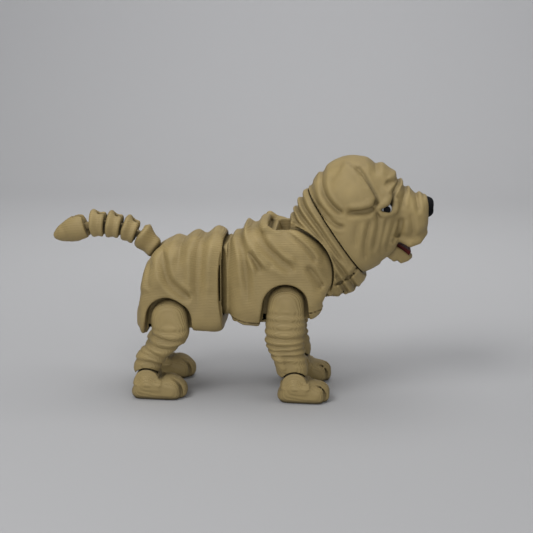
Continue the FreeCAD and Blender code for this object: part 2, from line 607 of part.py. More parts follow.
def leg(label, rows, x, z, ankle_x, side):
    y = mirrored(side, "leg_y")
    arch = across(f"{label}_arch", "ankle_arch_radius", "30", ankle_x, "ankle_z", y)
    bore_end = mirrored(side, "leg_peg_inner + leg_peg_length + 0.1 - 10")
    peg_bore = across(f"{label}_peg_bore", "leg_peg_radius + press_gap", "20", x, z, bore_end)
    upper = cut(f"{label}_upper", leg_skin(f"{label}_skin", rows, side), arch, peg_bore)
    eye = across(f"{label}_ankle_eye", "ankle_eye_radius", "ankle_tongue_width", ankle_x, "ankle_z", y)
    stem = box(f"{label}_ankle_stem", "2 * ankle_neck_half", "ankle_tongue_width", "ankle_arch_radius + 1.5",
               f"{ankle_x} - ankle_neck_half", f"{y} - ankle_tongue_width / 2", "ankle_z")
    bore = across(f"{label}_ankle_bore", "ankle_pin_radius + pin_play", "30", ankle_x, "ankle_z", y)
    tongue = cut(f"{label}_ankle_tongue", fuse(f"{label}_ankle_joined", eye, stem), bore)
    node(fuse(label, upper, tongue), label)


def leg_peg(label, x, z, side):
    peg = turned(label, ("leg_peg_flange", "leg_peg_flange_length", "0"),
                 ("leg_peg_radius", "leg_peg_length", "0"))
    node(place(peg, x, mirrored(side, "leg_peg_inner"), z, X_AXIS, -90 * side), label)


def paw(label, ankle_x, side):
    y = mirrored(side, "leg_y")
    wires = [section(V(size(ankle_x) + along, side * size("leg_y"), (low + top) / 2), half, Y_AXIS,
                     (top - low) / 2, Z_AXIS, 2.4, 4.0)
             for along, low, top, half in stations("paw", len(PAW), 4)]
    sole = box(f"{label}_sole_trim", "reach", "reach", "10", f"{ankle_x} - 30", f"{y} - reach / 2", "-10")
    instep = common(f"{label}_instep",
                    across(f"{label}_instep_disc", "instep_radius", "30", ankle_x, "ankle_z", y),
                    box(f"{label}_instep_block", "30", "40", "20", f"{ankle_x} - 15", f"{y} - 20",
                        "ankle_z + instep_height"))
    foot = cut(f"{label}_foot", loft(f"{label}_skin", wires), sole, instep)
    dome = across(f"{label}_dome", "ankle_dome_radius", "2 * dome_half", ankle_x, "ankle_z", y)
    slot_width = "ankle_tongue_width + 2 * gap"
    eye_room = across(f"{label}_eye_room", "ankle_eye_radius + gap + 0.15", slot_width, ankle_x, "ankle_z", y)
    stem_room = box(f"{label}_stem_room", "2 * ankle_neck_half + 4", slot_width, "20",
                    f"{ankle_x} - ankle_neck_half - 2", f"{y} - ankle_tongue_width / 2 - gap", "ankle_z")
    blind = mirrored(side, "leg_y + ankle_pin_length / 2 - 15")
    pin_bore = across(f"{label}_pin_bore", "ankle_pin_radius + press_gap", "30", ankle_x, "ankle_z", blind)
    node(cut(label, fuse(f"{label}_joined", foot, dome), eye_room, stem_room, pin_bore), label)


def legs():
    for name, side in SIDES.items():
        y = mirrored(side, "leg_y")
        for end, prefix, rows, pivot in (("rear", "hind", HIND_LEG, "hip"),
                                         ("front", "fore", FORE_LEG, "shoulder")):
            leg(f"leg_{end}_{name}", stations(f"{prefix}_leg", len(rows), 5), f"{pivot}_x", f"{pivot}_z",
                f"{prefix}_ankle_x", side)
            leg_peg(f"leg_peg_{end}_{name}", f"{pivot}_x", f"{pivot}_z", side)
            paw(f"paw_{end}_{name}", f"{prefix}_ankle_x", side)
            cross_pin(f"ankle_pin_{end}_{name}", "ankle_pin_radius", "ankle_pin_length", f"{prefix}_ankle_x",
                      "ankle_z", y)


# ---------------------------------------------------------------- tail

def tail_direction(angle):
    """Outward along the tail, for an angle that climbs from straight back."""
    a = math.radians(angle)
    return V(-math.cos(a), 0, math.sin(a)), V(math.sin(a), 0, math.cos(a))


def link_skin(name, front, front_angle, rear, rear_angle, radius):
    """One link: a bead with two soft rings."""
    wires = []
    for part, swell in ((0, 0.9), (0.22, 1.02), (0.5, 0.95), (0.78, 1.02), (1, 0.9)):
        along, up = tail_direction(front_angle + (rear_angle - front_angle) * part)
        wires.append(section(front + (rear - front) * part, radius * swell, Y_AXIS, radius * swell, up,
                             start=-45))
    return loft(name, wires)


def pin_place(face, angle):
    along, up = tail_direction(angle)
    return face + along * size("tail_pin_depth")


def level_turn(along):
    """The turn about Y that points a box's length along a direction in the XZ plane."""
    return App.Rotation(Y_AXIS, math.degrees(math.atan2(-along.z, along.x)))


def tail_tongue(name, start, pin):
    """The tongue on a link's rear face, with its eye round the next link's pin."""
    run = pin - start
    along = App.Vector(run).normalize()
    turn = level_turn(along)
    half_height, half_width = size("tail_neck_height") / 2, size("tail_tongue_width") / 2
    stem = box(name + "_stem", f"{run.Length:.4f} + tail_tongue_root", "tail_tongue_width",
               "tail_neck_height", "0", "0", "0")
    corner = start - along * size("tail_tongue_root") + turn.multVec(V(0, -half_width, -half_height))
    for axis in "xyz":
        stem.setExpression(f"Placement.Base.{axis}", None)
    stem.Placement = App.Placement(corner, turn)
    eye = across(name + "_eye", "tail_eye_radius", "tail_tongue_width", pin.x, pin.z)
    return stem, eye


def link_slot(name, face, angle):
    """The slit in a link's front face for the tongue ahead of it."""
    along, _ = tail_direction(angle)
    width = size("tail_tongue_width") + 2 * size("gap")
    slot = doc.addObject("Part::Box", name)
    bind(slot, Length="tail_slot_depth + 2", Width="tail_tongue_width + 2 * gap", Height="20")
    turn = level_turn(along)
    slot.Placement = App.Placement(face - along * 2 + turn.multVec(V(0, -width / 2, -10)), turn)
    return slot


def tail():
    rows = stations("tail", len(TAIL), 7)
    tip = stations("tip", len(TAIL_TIP), 4)
    fronts = [(V(r[0], 0, r[1]), r[2]) for r in rows] + [(V(tip[0][0], 0, tip[0][1]), tip[0][3])]
    for i, row in enumerate(rows):
        label = f"tail_link_{i + 1}"
        front, rear = V(row[0], 0, row[1]), V(row[3], 0, row[4])
        skin = link_skin(f"{label}_skin", front, row[2], rear, row[5], row[6])
        tools = [link_slot(f"{label}_slot", front, row[2])] if i else []
        if i:
            pin = pin_place(front, row[2])
            tools.append(across(f"{label}_pin_bore", "tail_pin_radius + press_gap", "tail_pin_length + 20",
                                pin.x, pin.z, "10"))
        else:
            tools.append(tilted(f"{label}_peg_bore", "tail_peg_radius + press_gap", "tail_peg_in_link + 2",
                                front.x, front.z, 180 - row[2], "2"))
        body = cut(f"{label}_bead", skin, *tools)
        next_pin = pin_place(*fronts[i + 1])
        stem, eye = tail_tongue(f"{label}_tongue", rear, next_pin)
        bore = across(f"{label}_eye_bore", "tail_pin_radius + pin_play", "20", next_pin.x, next_pin.z)
        node(cut(label, fuse(f"{label}_joined", body, stem, eye), bore), label)
        cross_pin(f"tail_pin_{i + 1}", "tail_pin_radius", "tail_pin_length", next_pin.x, next_pin.z)
    wires = []
    for x, z, radius, angle in tip:
        along, up = tail_direction(angle)
        wires.append(section(V(x, 0, z), radius * 0.9, Y_AXIS, radius, up, start=-45))
    face, angle = fronts[-1]
    pin = pin_place(face, angle)
    node(cut("tail_tip", loft("tail_tip_skin", wires), link_slot("tail_tip_slot", face, angle),
             across("tail_tip_pin_bore", "tail_pin_radius + press_gap", "tail_pin_length + 20", pin.x,
                    pin.z, "10")),
         "tail_tip")
    front, angle = fronts[0]
    along, up = tail_direction(angle)
    peg = turned("tail_peg_blank", ("tail_peg_flange", "1.5", "0"),
                 ("tail_peg_radius", "tail_peg_in_rump + tail_peg_in_link", "0"))
    peg.Placement = App.Placement(front - along * size("tail_peg_in_rump"), App.Rotation(Y_AXIS, angle - 90))
    split = doc.addObject("Part::Box", "tail_peg_split")
    bind(split, Length="12", Width="1", Height="6")
    split.Placement = peg.Placement.multiply(App.Placement(V(-6, -0.5, -1), App.Rotation()))
    node(cut("tail_peg", peg, split), "tail_peg")


# ---------------------------------------------------------------- the whole toy

def write_parts():
    os.makedirs("parts", exist_ok=True)
    for obj in doc.Objects:
        if any(word in obj.State for word in ("Invalid", "Error")):
            raise SystemExit(f"{obj.Label} failed: {obj.State}")
    for label, obj in nodes.items():
        if obj.Shape.isNull() or not obj.Shape.isValid():
            raise SystemExit(f"{label} has no valid shape")
    for label, obj in nodes.items():
        obj.Shape.exportStep(f"parts/{label}.step")


def main():
    fill_sheet()
    front_body()
    rear_body()
    neck()
    head_shell()
    face()
    legs()
    tail()
    doc.recompute()
    write_parts()


main()
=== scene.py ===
"""Looks for the articulated wrinkled dog, a toy printed in tan plastic.

Each shell starts as its CAD node's own surface. A distance field of it is creased, rounded and meshed again,
so the joints keep their shape. Pegs and pins stay the CAD meshes. Lengths are in millimetres until a mesh is
made. X points forward, Z up and Y to the dog's left.
"""

import math

import bpy
import numpy as np
import openvdb as vdb
from mathutils import Matrix, Vector

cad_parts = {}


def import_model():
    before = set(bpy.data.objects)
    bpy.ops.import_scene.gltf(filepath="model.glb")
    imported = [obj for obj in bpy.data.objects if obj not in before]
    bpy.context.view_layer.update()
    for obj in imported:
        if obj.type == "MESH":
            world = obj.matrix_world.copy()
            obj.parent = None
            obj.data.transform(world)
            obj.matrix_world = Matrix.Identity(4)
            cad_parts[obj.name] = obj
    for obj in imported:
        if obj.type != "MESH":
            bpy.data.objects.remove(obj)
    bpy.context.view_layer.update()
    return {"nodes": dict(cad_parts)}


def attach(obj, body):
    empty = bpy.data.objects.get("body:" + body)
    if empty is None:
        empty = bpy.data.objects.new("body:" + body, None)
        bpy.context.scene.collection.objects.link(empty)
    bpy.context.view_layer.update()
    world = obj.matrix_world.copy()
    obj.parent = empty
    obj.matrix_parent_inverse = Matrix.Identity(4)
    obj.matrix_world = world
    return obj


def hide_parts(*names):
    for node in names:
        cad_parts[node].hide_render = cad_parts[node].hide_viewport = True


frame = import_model()

MM = 0.001
VOXEL = 0.45  # the grid spacing of the distance fields
BAND = 3.6  # how far from a surface the distances are kept
FOLD_REACH = 2.6  # how far from a surface folds act
NODE_BLEND = 0.9  # how softly two nodes join in one piece
SHARPNESS = 1.7  # the power that narrows a crease towards its bottom
PUFF = 0.25  # the swelling beside a crease, as a part of its depth
FAR_INSIDE = -9
SIDES = {"right": -1, "left": 1}

# ---------------------------------------------------------------- materials

TAN = (0.292, 0.217, 0.091)
PEG_TAN = (0.24, 0.18, 0.076)
BLACK = (0.006, 0.006, 0.007)
EYE_WHITE = (0.55, 0.56, 0.58)
TONGUE_RED = (0.085, 0.014, 0.012)
FLOOR_GREY = (0.405, 0.405, 0.41)
WALL_GREY = (0.39, 0.39, 0.40)
# painted shade: creases darken in colour within this distance of a facing surface
CREASE_SHADE = 3.0  # how near a facing surface has to be to darken a crease


def link(tree, source, target):
    tree.links.new(source, target)


def math_node(tree, operation, *values):
    """A math node's output. Each value is a number or another node's output."""
    node = tree.nodes.new("ShaderNodeMath")
    node.operation = operation
    for socket, value in zip(node.inputs, values):
        if hasattr(value, "links"):
            link(tree, value, socket)
        else:
            socket.default_value = value
    return node.outputs[0]


def noise(tree, place, scale, detail=2.0):
    """Noise in the object's own space."""
    node = tree.nodes.new("ShaderNodeTexNoise")
    node.inputs["Scale"].default_value = scale
    node.inputs["Detail"].default_value = detail
    link(tree, place, node.inputs["Vector"])
    return node.outputs[0]


def layer_bump(tree, place, axis, layer, depth):
    """Fine ridges along one axis that wander a little, as printed layers do."""
    split = tree.nodes.new("ShaderNodeSeparateXYZ")
    link(tree, place, split.inputs[0])
    wander = noise(tree, place, scale=40.0)
    shifted = math_node(tree, "MULTIPLY_ADD", wander, 0.25 * layer * MM, split.outputs[axis])
    wave = math_node(tree, "SINE", math_node(tree, "MULTIPLY", shifted, 2 * math.pi / (layer * MM)))
    bump = tree.nodes.new("ShaderNodeBump")
    bump.inputs["Distance"].default_value = depth * MM
    bump.inputs["Strength"].default_value = 1.0
    link(tree, wave, bump.inputs["Height"])
    return bump.outputs[0]


def two_tones(tree, factor, first, second, start, end):
    """A colour that runs from the first tone to the second as the factor goes from start to end."""
    ramp = tree.nodes.new("ShaderNodeValToRGB")
    for stop, place, tone in zip(ramp.color_ramp.elements, (start, end), (first, second)):
        stop.position = place
        stop.color = (*tone, 1)
    link(tree, factor, ramp.inputs[0])
    return ramp.outputs[0]


def new_material(name, roughness):
    """A material with its node tree and its shader."""
    material = bpy.data.materials.new(name)
    material.use_nodes = True
    shader = material.node_tree.nodes["Principled BSDF"]
    shader.inputs["Roughness"].default_value = roughness
    return material, material.node_tree, shader


def plastic(name, colour, layer_axis="Z", layer=0.3, layer_depth=0.03, roughness=0.55, variation=0.12,
            shine=0.3):
    """Printed plastic: fine layer ridges, faint blotches, painted shade that darkens its creases and hollows,
    and a soft shine.
    """
    material, tree, shader = new_material(name, roughness)
    shader.inputs["Specular IOR Level"].default_value = shine
    place = tree.nodes.new("ShaderNodeTexCoord").outputs["Object"]
    link(tree, layer_bump(tree, place, layer_axis, layer, layer_depth), shader.inputs["Normal"])
    dark = [c * (1 - variation) for c in colour]
    pale = [c * (1 + variation) for c in colour]
    blotches = noise(tree, place, scale=90.0, detail=5.0)
    tone = two_tones(tree, blotches, dark, pale, start=0.3, end=0.7)
    # painted shade: ambient occlusion darkens the colour in creases and hollows
    crease_shade = tree.nodes.new("ShaderNodeAmbientOcclusion")
    crease_shade.samples = 8
    crease_shade.inputs["Distance"].default_value = CREASE_SHADE * MM
    link(tree, tone, crease_shade.inputs["Color"])
    link(tree, crease_shade.outputs["Color"], shader.inputs["Base Color"])
    return material


tan = plastic("tan_upright", TAN, "Z", layer=0.8, layer_depth=0.045)
tan_flat = plastic("tan_side", TAN, "Y", layer=0.6, layer_depth=0.08)
tan_fine = plastic("tan_fine", TAN, "Z", layer=0.2, layer_depth=0.015)
peg_tan = plastic("peg_tan", PEG_TAN, "Y")
black = plastic("black_plastic", BLACK, "Z", layer=0.2, layer_depth=0.01, roughness=0.6, shine=0.06)
eye_white = plastic("eye_white", EYE_WHITE, "Y", layer_depth=0.004, roughness=0.25, variation=0.05)
tongue_red = plastic("tongue_red", TONGUE_RED, "Z", roughness=0.55, shine=0.1)

# ---------------------------------------------------------------- distance fields


def smooth(value, start, end):
    """0 up to start, 1 from end on, and an even S between them."""
    t = np.clip((value - start) / (end - start), 0, 1)
    return t * t * (3 - 2 * t)


def welded(obj):
    """A CAD node's corners and triangles in millimetres, with shared corners merged."""
    mesh = obj.data
    mesh.calc_loop_triangles()
    co = np.empty(len(mesh.vertices) * 3, np.float32)
    mesh.vertices.foreach_get("co", co)
    tris = np.empty(len(mesh.loop_triangles) * 3, np.int32)
    mesh.loop_triangles.foreach_get("vertices", tris)
    points, index = np.unique(np.round(co.reshape(-1, 3) / MM, 3), axis=0, return_inverse=True)
    return points.astype(np.float32), index.reshape(-1)[tris].reshape(-1, 3).astype(np.uint32)


class Field:
    """The signed distance to one or more CAD nodes on a grid, negative inside, with room round them."""

    def __init__(self, *names, room=1.0):
        self.transform = vdb.createLinearTransform(voxelSize=VOXEL)
        parts = []
        for name in names:
            points, tris = welded(frame["nodes"][name])
            parts.append(vdb.FloatGrid.createLevelSetFromPolygons(
                points, triangles=tris, transform=self.transform, halfWidth=BAND / VOXEL))
        corners = np.array([grid.evalActiveVoxelBoundingBox() for grid in parts])
        border = math.ceil(room / VOXEL) + 1
        self.start = corners[:, 0].min(0) - border
        shape = corners[:, 1].max(0) + border + 1 - self.start
        arrays = [np.empty(shape, np.float32) for _ in parts]
        for grid, array in zip(parts, arrays):
            grid.copyToArray(array, ijk=self.corner())
        self.d = arrays[0]
        for array in arrays[1:]:
            self.blend_in(array, NODE_BLEND)

    def corner(self):
        """The grid index of the first corner."""
        return tuple(int(i) for i in self.start)

    def places(self, chosen):
        """The x, y and z of the chosen grid points."""
        at = np.argwhere(chosen)
        return ((at + self.start) * VOXEL).T.astype(np.float32)

    def grid(self):
        """The x, y and z of all grid points, as three arrays that broadcast."""
        axes = [((np.arange(n) + s) * VOXEL).astype(np.float32) for n, s in zip(self.d.shape, self.start)]
        return axes[0][:, None, None], axes[1][None, :, None], axes[2][None, None, :]

    def soften(self, mask, reach):
        """Rounds edges to about this radius where the mask is 1, by passes of a three-point mean."""
        blurred = self.d.copy()
        passes = max(1, round((reach / VOXEL) ** 2 * 1.5))
        for _ in range(passes):
            for axis in range(3):
                blurred = (np.roll(blurred, 1, axis) + blurred + np.roll(blurred, -1, axis)) / 3
        self.d += mask * (blurred - self.d)

    def fold(self, mask, folds):
        """Adds creases and ridges where the mask is above 0."""
        mask = np.broadcast_to(mask, self.d.shape)
        chosen = (np.abs(self.d) < FOLD_REACH) & (mask > 0.01)
        x, _, z = self.places(chosen)
        self.d[chosen] -= fold_height(folds, x, z) * mask[chosen]

    def near_surface(self, depth):
        """A skin depth where the distances are known, and far inside elsewhere."""
        return np.where(np.abs(self.d) < BAND, depth, FAR_INSIDE)

    def blend_in(self, other, k):
        """A smooth union with another distance."""
        h = np.clip(0.5 + 0.5 * (self.d - other) / k, 0, 1)
        self.d = self.d * (1 - h) + other * h - k * h * (1 - h)

    def carve(self, other, k):
        """Takes another shape away, with a smooth edge."""
        h = np.clip(0.5 - 0.5 * (self.d + other) / k, 0, 1)
        self.d = self.d * (1 - h) - other * h + k * h * (1 - h)

    def strand(self, points, radii, k=0.9, carve=False):
        """Adds a tube along points in space, or carves it."""
        points, radii = np.array(points, float), np.broadcast_to(radii, len(points))
        margin = max(radii) + 3 * k + 1
        low, high = points.min(0) - margin, points.max(0) + margin
        a = np.maximum(np.floor(low / VOXEL).astype(int) - self.start, 0)
        b = np.minimum(np.ceil(high / VOXEL).astype(int) - self.start + 1, self.d.shape)
        if (a >= b).any():
            return
        window = tuple(slice(i, j) for i, j in zip(a, b))
        x, y, z = self.grid()
        x, y, z = x[window[0]], y[:, window[1]], z[:, :, window[2]]
        tube = np.full([j - i for i, j in zip(a, b)], BAND, np.float32)
        for p, q, r, s in zip(points, points[1:], radii, radii[1:]):
            v = q - p
            t = ((x - p[0]) * v[0] + (y - p[1]) * v[1] + (z - p[2]) * v[2]) / (v @ v)
            t = np.clip(t, 0, 1)
            away = np.sqrt((x - p[0] - t * v[0]) ** 2 + (y - p[1] - t * v[1]) ** 2
                           + (z - p[2] - t * v[2]) ** 2)
            tube = np.minimum(tube, away - (r + (s - r) * t))
        whole, self.d = self.d, self.d[window]
        if carve:
            self.carve(tube, k)
        else:
            self.blend_in(tube, k)
        whole[window] = self.d
        self.d = whole

    def mesh(self, name):
        """The surface where the distance is 0, as an object."""
        grid = vdb.FloatGrid(BAND)
        grid.transform = self.transform
        grid.copyFromArray(np.clip(self.d, -BAND, BAND).astype(np.float32), ijk=self.corner())
        points, tris, quads = grid.convertToPolygons(isovalue=0.0, adaptivity=0.0)
        return as_object(name, points * MM, tris, quads)


def as_object(name, points, tris, quads):
    """A smooth-shaded mesh object from corner arrays."""
    faces = [list(map(int, f)) for f in quads] + [list(map(int, f)) for f in tris]
    mesh = bpy.data.meshes.new(name)
    mesh.from_pydata(points.tolist(), [], faces)
    mesh.update()
    middle = np.array([p.center for p in mesh.polygons]).reshape(-1, 3)
    normal = np.array([p.normal for p in mesh.polygons]).reshape(-1, 3)
    area = np.array([p.area for p in mesh.polygons])
    if ((middle * normal).sum(1) * area).sum() < 0:
        mesh.flip_normals()
    mesh.polygons.foreach_set("use_smooth", [True] * len(mesh.polygons))
    obj = bpy.data.objects.new(name, mesh)
    bpy.context.scene.collection.objects.link(obj)
    return obj


# ---------------------------------------------------------------- folds


def eased(points, steps=4):
    """A smooth line through given points."""
    p = np.array(points, float)
    if len(p) < 3:
        return p
    ends = np.vstack([2 * p[0] - p[1], p, 2 * p[-1] - p[-2]])
    t = np.linspace(0, 1, steps, endpoint=False)[:, None]
    runs = [0.5 * (2 * b + (c - a) * t + (2 * a - 5 * b + 4 * c - d) * t ** 2
                   + (3 * b - a - 3 * c + d) * t ** 3)
            for a, b, c, d in zip(ends, ends[1:], ends[2:], ends[3:])]
    return np.vstack(runs + [p[-1:]])


def crease(points, depth, width, ends=(4, 4)):
    """A sharp valley between two puffy folds, drawn in the side view."""
    return "crease", eased(points), depth, width, ends


def ridge(points, height, width, ends=(4, 4)):
    """A soft swelling along a line in the side view, or a soft hollow when its height is negative."""
    return "ridge", eased(points), height, width, ends


def lump(x, z, height, width):
    """A soft round swelling in the side view."""
    return "lump", np.array([[x, z]]), height, width, (0, 0)


def fold_height(folds, x, z):
    """How far the folds lift the surface, below 0 in a crease. Where creases cross, the deepest counts."""
    total, valley = np.zeros_like(x), np.zeros_like(x)
    for kind, line, amount, width, (fade_in, fade_out) in folds:
        reach = 1.9 * width if kind == "crease" else 2.2 * width
        low, high = line.min(0) - reach, line.max(0) + reach
        near = np.nonzero((x > low[0]) & (x < high[0]) & (z > low[1]) & (z < high[1]))[0]
        if not len(near):
            continue
        px, pz = x[near], z[near]
        if kind == "lump":
            total[near] += amount * np.exp(-((px - line[0, 0]) ** 2 + (pz - line[0, 1]) ** 2) / width ** 2)
            continue
        best, place, length = np.full(len(near), 1e9, np.float32), np.zeros(len(near), np.float32), 0.0
        for a, b in zip(line, line[1:]):
            run = math.hypot(*(b - a))
            u = (b - a) / run
            t = np.clip((px - a[0]) * u[0] + (pz - a[1]) * u[1], 0, run)
            away = (px - a[0] - t * u[0]) ** 2 + (pz - a[1] - t * u[1]) ** 2
            closer = away < best
            best[closer], place[closer] = away[closer], (length + t)[closer]
            length += run
        away = np.sqrt(best)
        taper = np.ones_like(away)
        if fade_in:
            taper *= smooth(place, -0.1, fade_in)
        if fade_out:
            taper *= smooth(length - place, -0.1, fade_out)
        if kind == "crease":
            u = 1 - np.clip(away / width, 0, 1)
            valley[near] = np.minimum(valley[near], -amount * taper * u ** SHARPNESS)
            puff_middle, puff_width = 0.9, 0.45
            total[near] += PUFF * amount * taper * np.exp(-((away / width - puff_middle) / puff_width) ** 2)
        else:
            total[near] += amount * taper * np.exp(-(away / width) ** 2)
    return total + valley


def skin_depth(rows, power_top, power_low, x, y, z):
    """Roughly how far a place is outside a lofted skin, below 0 inside. Rows are x, low, top, half width."""
    xs, lows, tops, halves = np.array(rows, float).T
    low, top, half = (np.interp(x, xs, v) for v in (lows, tops, halves))
    tall = np.maximum((top - low) / 2, 0.1)
    up = (z - (low + top) / 2) / tall
    power = np.where(up > 0, power_top, power_low)
    u, v = np.abs(y / half) + 1e-6, np.abs(up) + 1e-6
    r = (u ** power + v ** power) ** (1 / power)
    slope = r ** (1 - power) * np.sqrt((u ** (power - 1) / half) ** 2 + (v ** (power - 1) / tall) ** 2)
    return (r - 1) / slope


def skin_half(rows, power_top, power_low, x, z):
    """The half width of a lofted skin at one place of the side view."""
    xs, lows, tops, halves = np.array(rows, float).T
    low, top, half = (float(np.interp(x, xs, v)) for v in (lows, tops, halves))
    up = (z - (low + top) / 2) / ((top - low) / 2)
    power = power_top if up > 0 else power_low
    return half * max(0.0, 1 - abs(up) ** power) ** (1 / power)


def outer(depth):
    """1 on the outer skin, 0 on walls deeper in."""
    return smooth(depth, -2.3, -1.0).astype(np.float32)


def finish_piece(obj, body, material, slot, *nodes):
    """Gives a piece its material, the body it rides on and the CAD nodes it stands for."""
    obj.data.materials.append(material)
    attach(obj, body)
    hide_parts(*nodes)


# ---------------------------------------------------------------- chest and haunch

CHEST = [(-4.8, 40.2, 80.8, 17.2), (2.8, 37.6, 85.5, 20.3), (10.8, 36.6, 88.8, 21.8), (20.8, 37.6, 90, 22.3),
         (30.8, 39.6, 89, 21.8), (38.8, 42.2, 84, 20), (41.6, 47, 80.4, 18.5),
         (45.3, 57, 76.5, 16.4)]
HAUNCH = [(-51, 34.5, 45, 12.5), (-48.8, 31.8, 56, 17), (-46, 31.2, 67, 19.4), (-40.2, 32.4, 74.8, 20.7),
          (-32.2, 33.2, 78.2, 21.2), (-21.2, 33.6, 80.4, 21.3), (-13.2, 33.2, 82.2, 21.2),
          (-7.6, 34.6, 81.2, 20.5)]
BODY_POWERS = 3.2, 5.0
WAIST_X, WAIST_RADIUS = -3.7, 17.8
COLLAR_X, COLLAR_Z = 23.8, 65  # the axis of the neck's round seat

REAR_FOLDS = [
    crease([(-16.7, 85), (-17.7, 79.5), (-18.4, 73), (-18.7, 66), (-18.9, 60), (-19.2, 52), (-19.6, 42)],
           2.4, 5.0, (0, 22)),
    crease([(-28.8, 84), (-28.5, 79), (-28.4, 75), (-28.8, 69), (-29.2, 64)], 1.5, 4.4, (0, 10)),
    crease([(-37.6, 76.5), (-36.5, 71.5), (-35.4, 66.4), (-33.7, 61.4), (-30.7, 58.0), (-26.9, 55.0),
            (-23.5, 53), (-21, 52)], 2.5, 4.2, (6, 5)),
    crease([(-43.0, 71), (-43.4, 66), (-43.8, 60), (-44.0, 55)], 1.0, 3.2, (4, 4)),
    lump(-39.2, 62, 0.9, 4.6),
    lump(-9.6, 85, 1.1, 5.0),
    lump(-22, 83, 0.7, 4.6),
    lump(-32, 81, 0.5, 3.6),
    ridge([(-12.5, 82), (-13.2, 70), (-13.4, 55)], 0.55, 3.0),
    ridge([(-23.6, 80), (-23.6, 70), (-23.5, 58)], 0.5, 2.6),
    crease([(-30.5, 79.5), (-32.6, 74), (-33.4, 69.5)], 0.5, 2.6),
    crease([(-51.5, 50), (-48.2, 52.6), (-45, 54.4), (-42, 55.2)], 0.6, 3.6, (1, 3)),
]
FRONT_FOLDS = [
    crease([(6.2, 92), (7.0, 87.5), (8.7, 84.7), (10.7, 82.2), (12.9, 79.6), (15.7, 76.7), (18.7, 74.4),
            (21.6, 71.8), (24.5, 70), (28.9, 66.6)], 2.9, 4.9, (0, 6)),
    crease([(0.2, 88), (0.2, 83), (1.4, 80), (2.6, 77.3), (3.5, 74.4), (4.1, 70.6), (4.5, 66.8), (5, 62),
            (5.4, 54), (5.6, 47)], 2.2, 3.8, (0, 18)),
    crease([(4.4, 76.8), (6.8, 74.5), (8.7, 72.1), (10.5, 69.6), (12.4, 65.8)], 2.1, 3.4, (3, 4)),
    crease([(33.2, 71), (35.9, 67.4), (37.9, 64.6), (40.0, 60.8), (41.4, 57)], 1.8, 3.6, (4, 4)),
    crease([(9.6, 78.4), (12.5, 74.6), (16.4, 70.8), (19.6, 68.2)], 0.9, 2.6, (4, 4)),
    crease([(19.4, 80.6), (23.6, 77.6), (28.2, 74.4), (32.2, 71)], 0.8, 3.0, (5, 5)),
    ridge([(25.4, 87.0), (29.5, 84.4), (34.3, 80.6), (38, 76.6), (41.2, 71)], 0.6, 1.4),
    crease([(20, 87.4), (26.5, 84.0), (32.0, 80.0), (36.2, 75.4), (38.6, 71)], 0.7, 1.9, (3, 3)),
    lump(3.2, 87.5, 0.7, 3.2),
    lump(12.2, 92.0, 0.3, 3.4),
    ridge([(6.0, 82), (9.0, 78), (13.0, 73.5), (17, 69.5)], 0.6, 2.2),
    ridge([(13.5, 85), (17.5, 80.5), (23.0, 76), (29, 72)], 0.6, 2.8),
    lump(37, 51, 0.6, 4.0),
    ridge([(-5.6, 86), (-5.4, 74), (-5.3, 60), (-5.4, 50), (-5.6, 40)], -1.4, 3.2, (0, 0)),
]
CAP_LINE = [(-5.2, 42.6), (-1, 41.4), (4, 40.4), (10, 40.2), (18, 41.4), (26, 43.6), (34, 45.8),
            (42, 47.8)]


def collar_flap(x, z, depth):
    """The chest's thin front rim, which ends in an arc round the neck's seat."""
    thickness, start, radius = 1.9, 39, 22.6
    wall = np.maximum(depth, -thickness - depth)
    return np.maximum(wall, np.maximum(start - x, np.hypot(x - COLLAR_X, z - COLLAR_Z) - radius))


def body_shell(node, rows, fade, added=None):
    """One body shell, with a rim added where it has one, and the mask that marks its outer skin."""
    shell = Field(node, room=6.0)
    x, y, z = shell.grid()
    depth = skin_depth(rows, *BODY_POWERS, x, y, z)
    if added:
        shell.blend_in(added(x, z, depth).astype(np.float32), 0.5)
    mask = outer(shell.near_surface(depth)) * fade(x)
    shell.soften(mask, 0.5)
    return shell, mask


def rear_body():
    """The haunch: its front rim curves back half way up, and its edges are rounded."""
    shell, mask = body_shell("rear_body", HAUNCH, lambda x: smooth(-x, 6.6, 8.4))
    x, y, z = shell.grid()
    rim_x, middle_z, reach, sweep, drum_back = -7.7, 60, 19, 1.7, -12
    rim = x - rim_x + sweep * np.clip(1 - ((z - middle_z) / reach) ** 2, 0, 1)
    beside_drum = (np.hypot(x - WAIST_X, y) > WAIST_RADIUS) & (x > drum_back)
    shell.d = np.where(beside_drum, np.maximum(shell.d, rim), shell.d)
    shell.fold(mask, REAR_FOLDS)
    finish_piece(shell.mesh("rear_body_folded"), "haunch", tan, "tan_plastic", "rear_body")


def front_body():
    """The chest: its drum in the waist gap is trimmed, its edge is fuller low behind each leg, a seam line
    runs over its belly cap and a ramp runs down each side of the collar."""
    shell, mask = body_shell("front_body", CHEST, lambda x: smooth(x, -5.4, -4.6), collar_flap)
    x, y, z = shell.grid()
    trim_back, trim_front, half_width, top = -10.5, -4.9, 16.4, 79.2
    forward = x + 5
    kept = np.minimum(half_width + 1.5 * forward - np.abs(y), top + 0.7 * forward - z)
    shell.carve(np.maximum(kept, np.maximum(x - trim_front, trim_back - x)), 0.4)
    for side in SIDES.values():
        low_edge = [(-1.5, side * 13.4, 43.4), (3.6, side * 15.4, 41.6), (8.2, side * 15.8, 41.2)]
        shell.strand(low_edge, [2.6, 3.2, 2.4], 1.6)
    shell.fold(mask, FRONT_FOLDS + [crease(CAP_LINE, 0.9, 0.7, (0, 0))])
    for side in SIDES.values():
        ramp = [(13.4, side * 16.4, 87.4), (16.6, side * 16.6, 85.6), (20, side * 16.8, 84.8)]
        shell.strand(ramp, [2.0, 1.7, 1.3], 1.6)
    finish_piece(shell.mesh("front_body_folded"), "chest", tan, "tan_plastic", "front_body")


# ---------------------------------------------------------------- neck

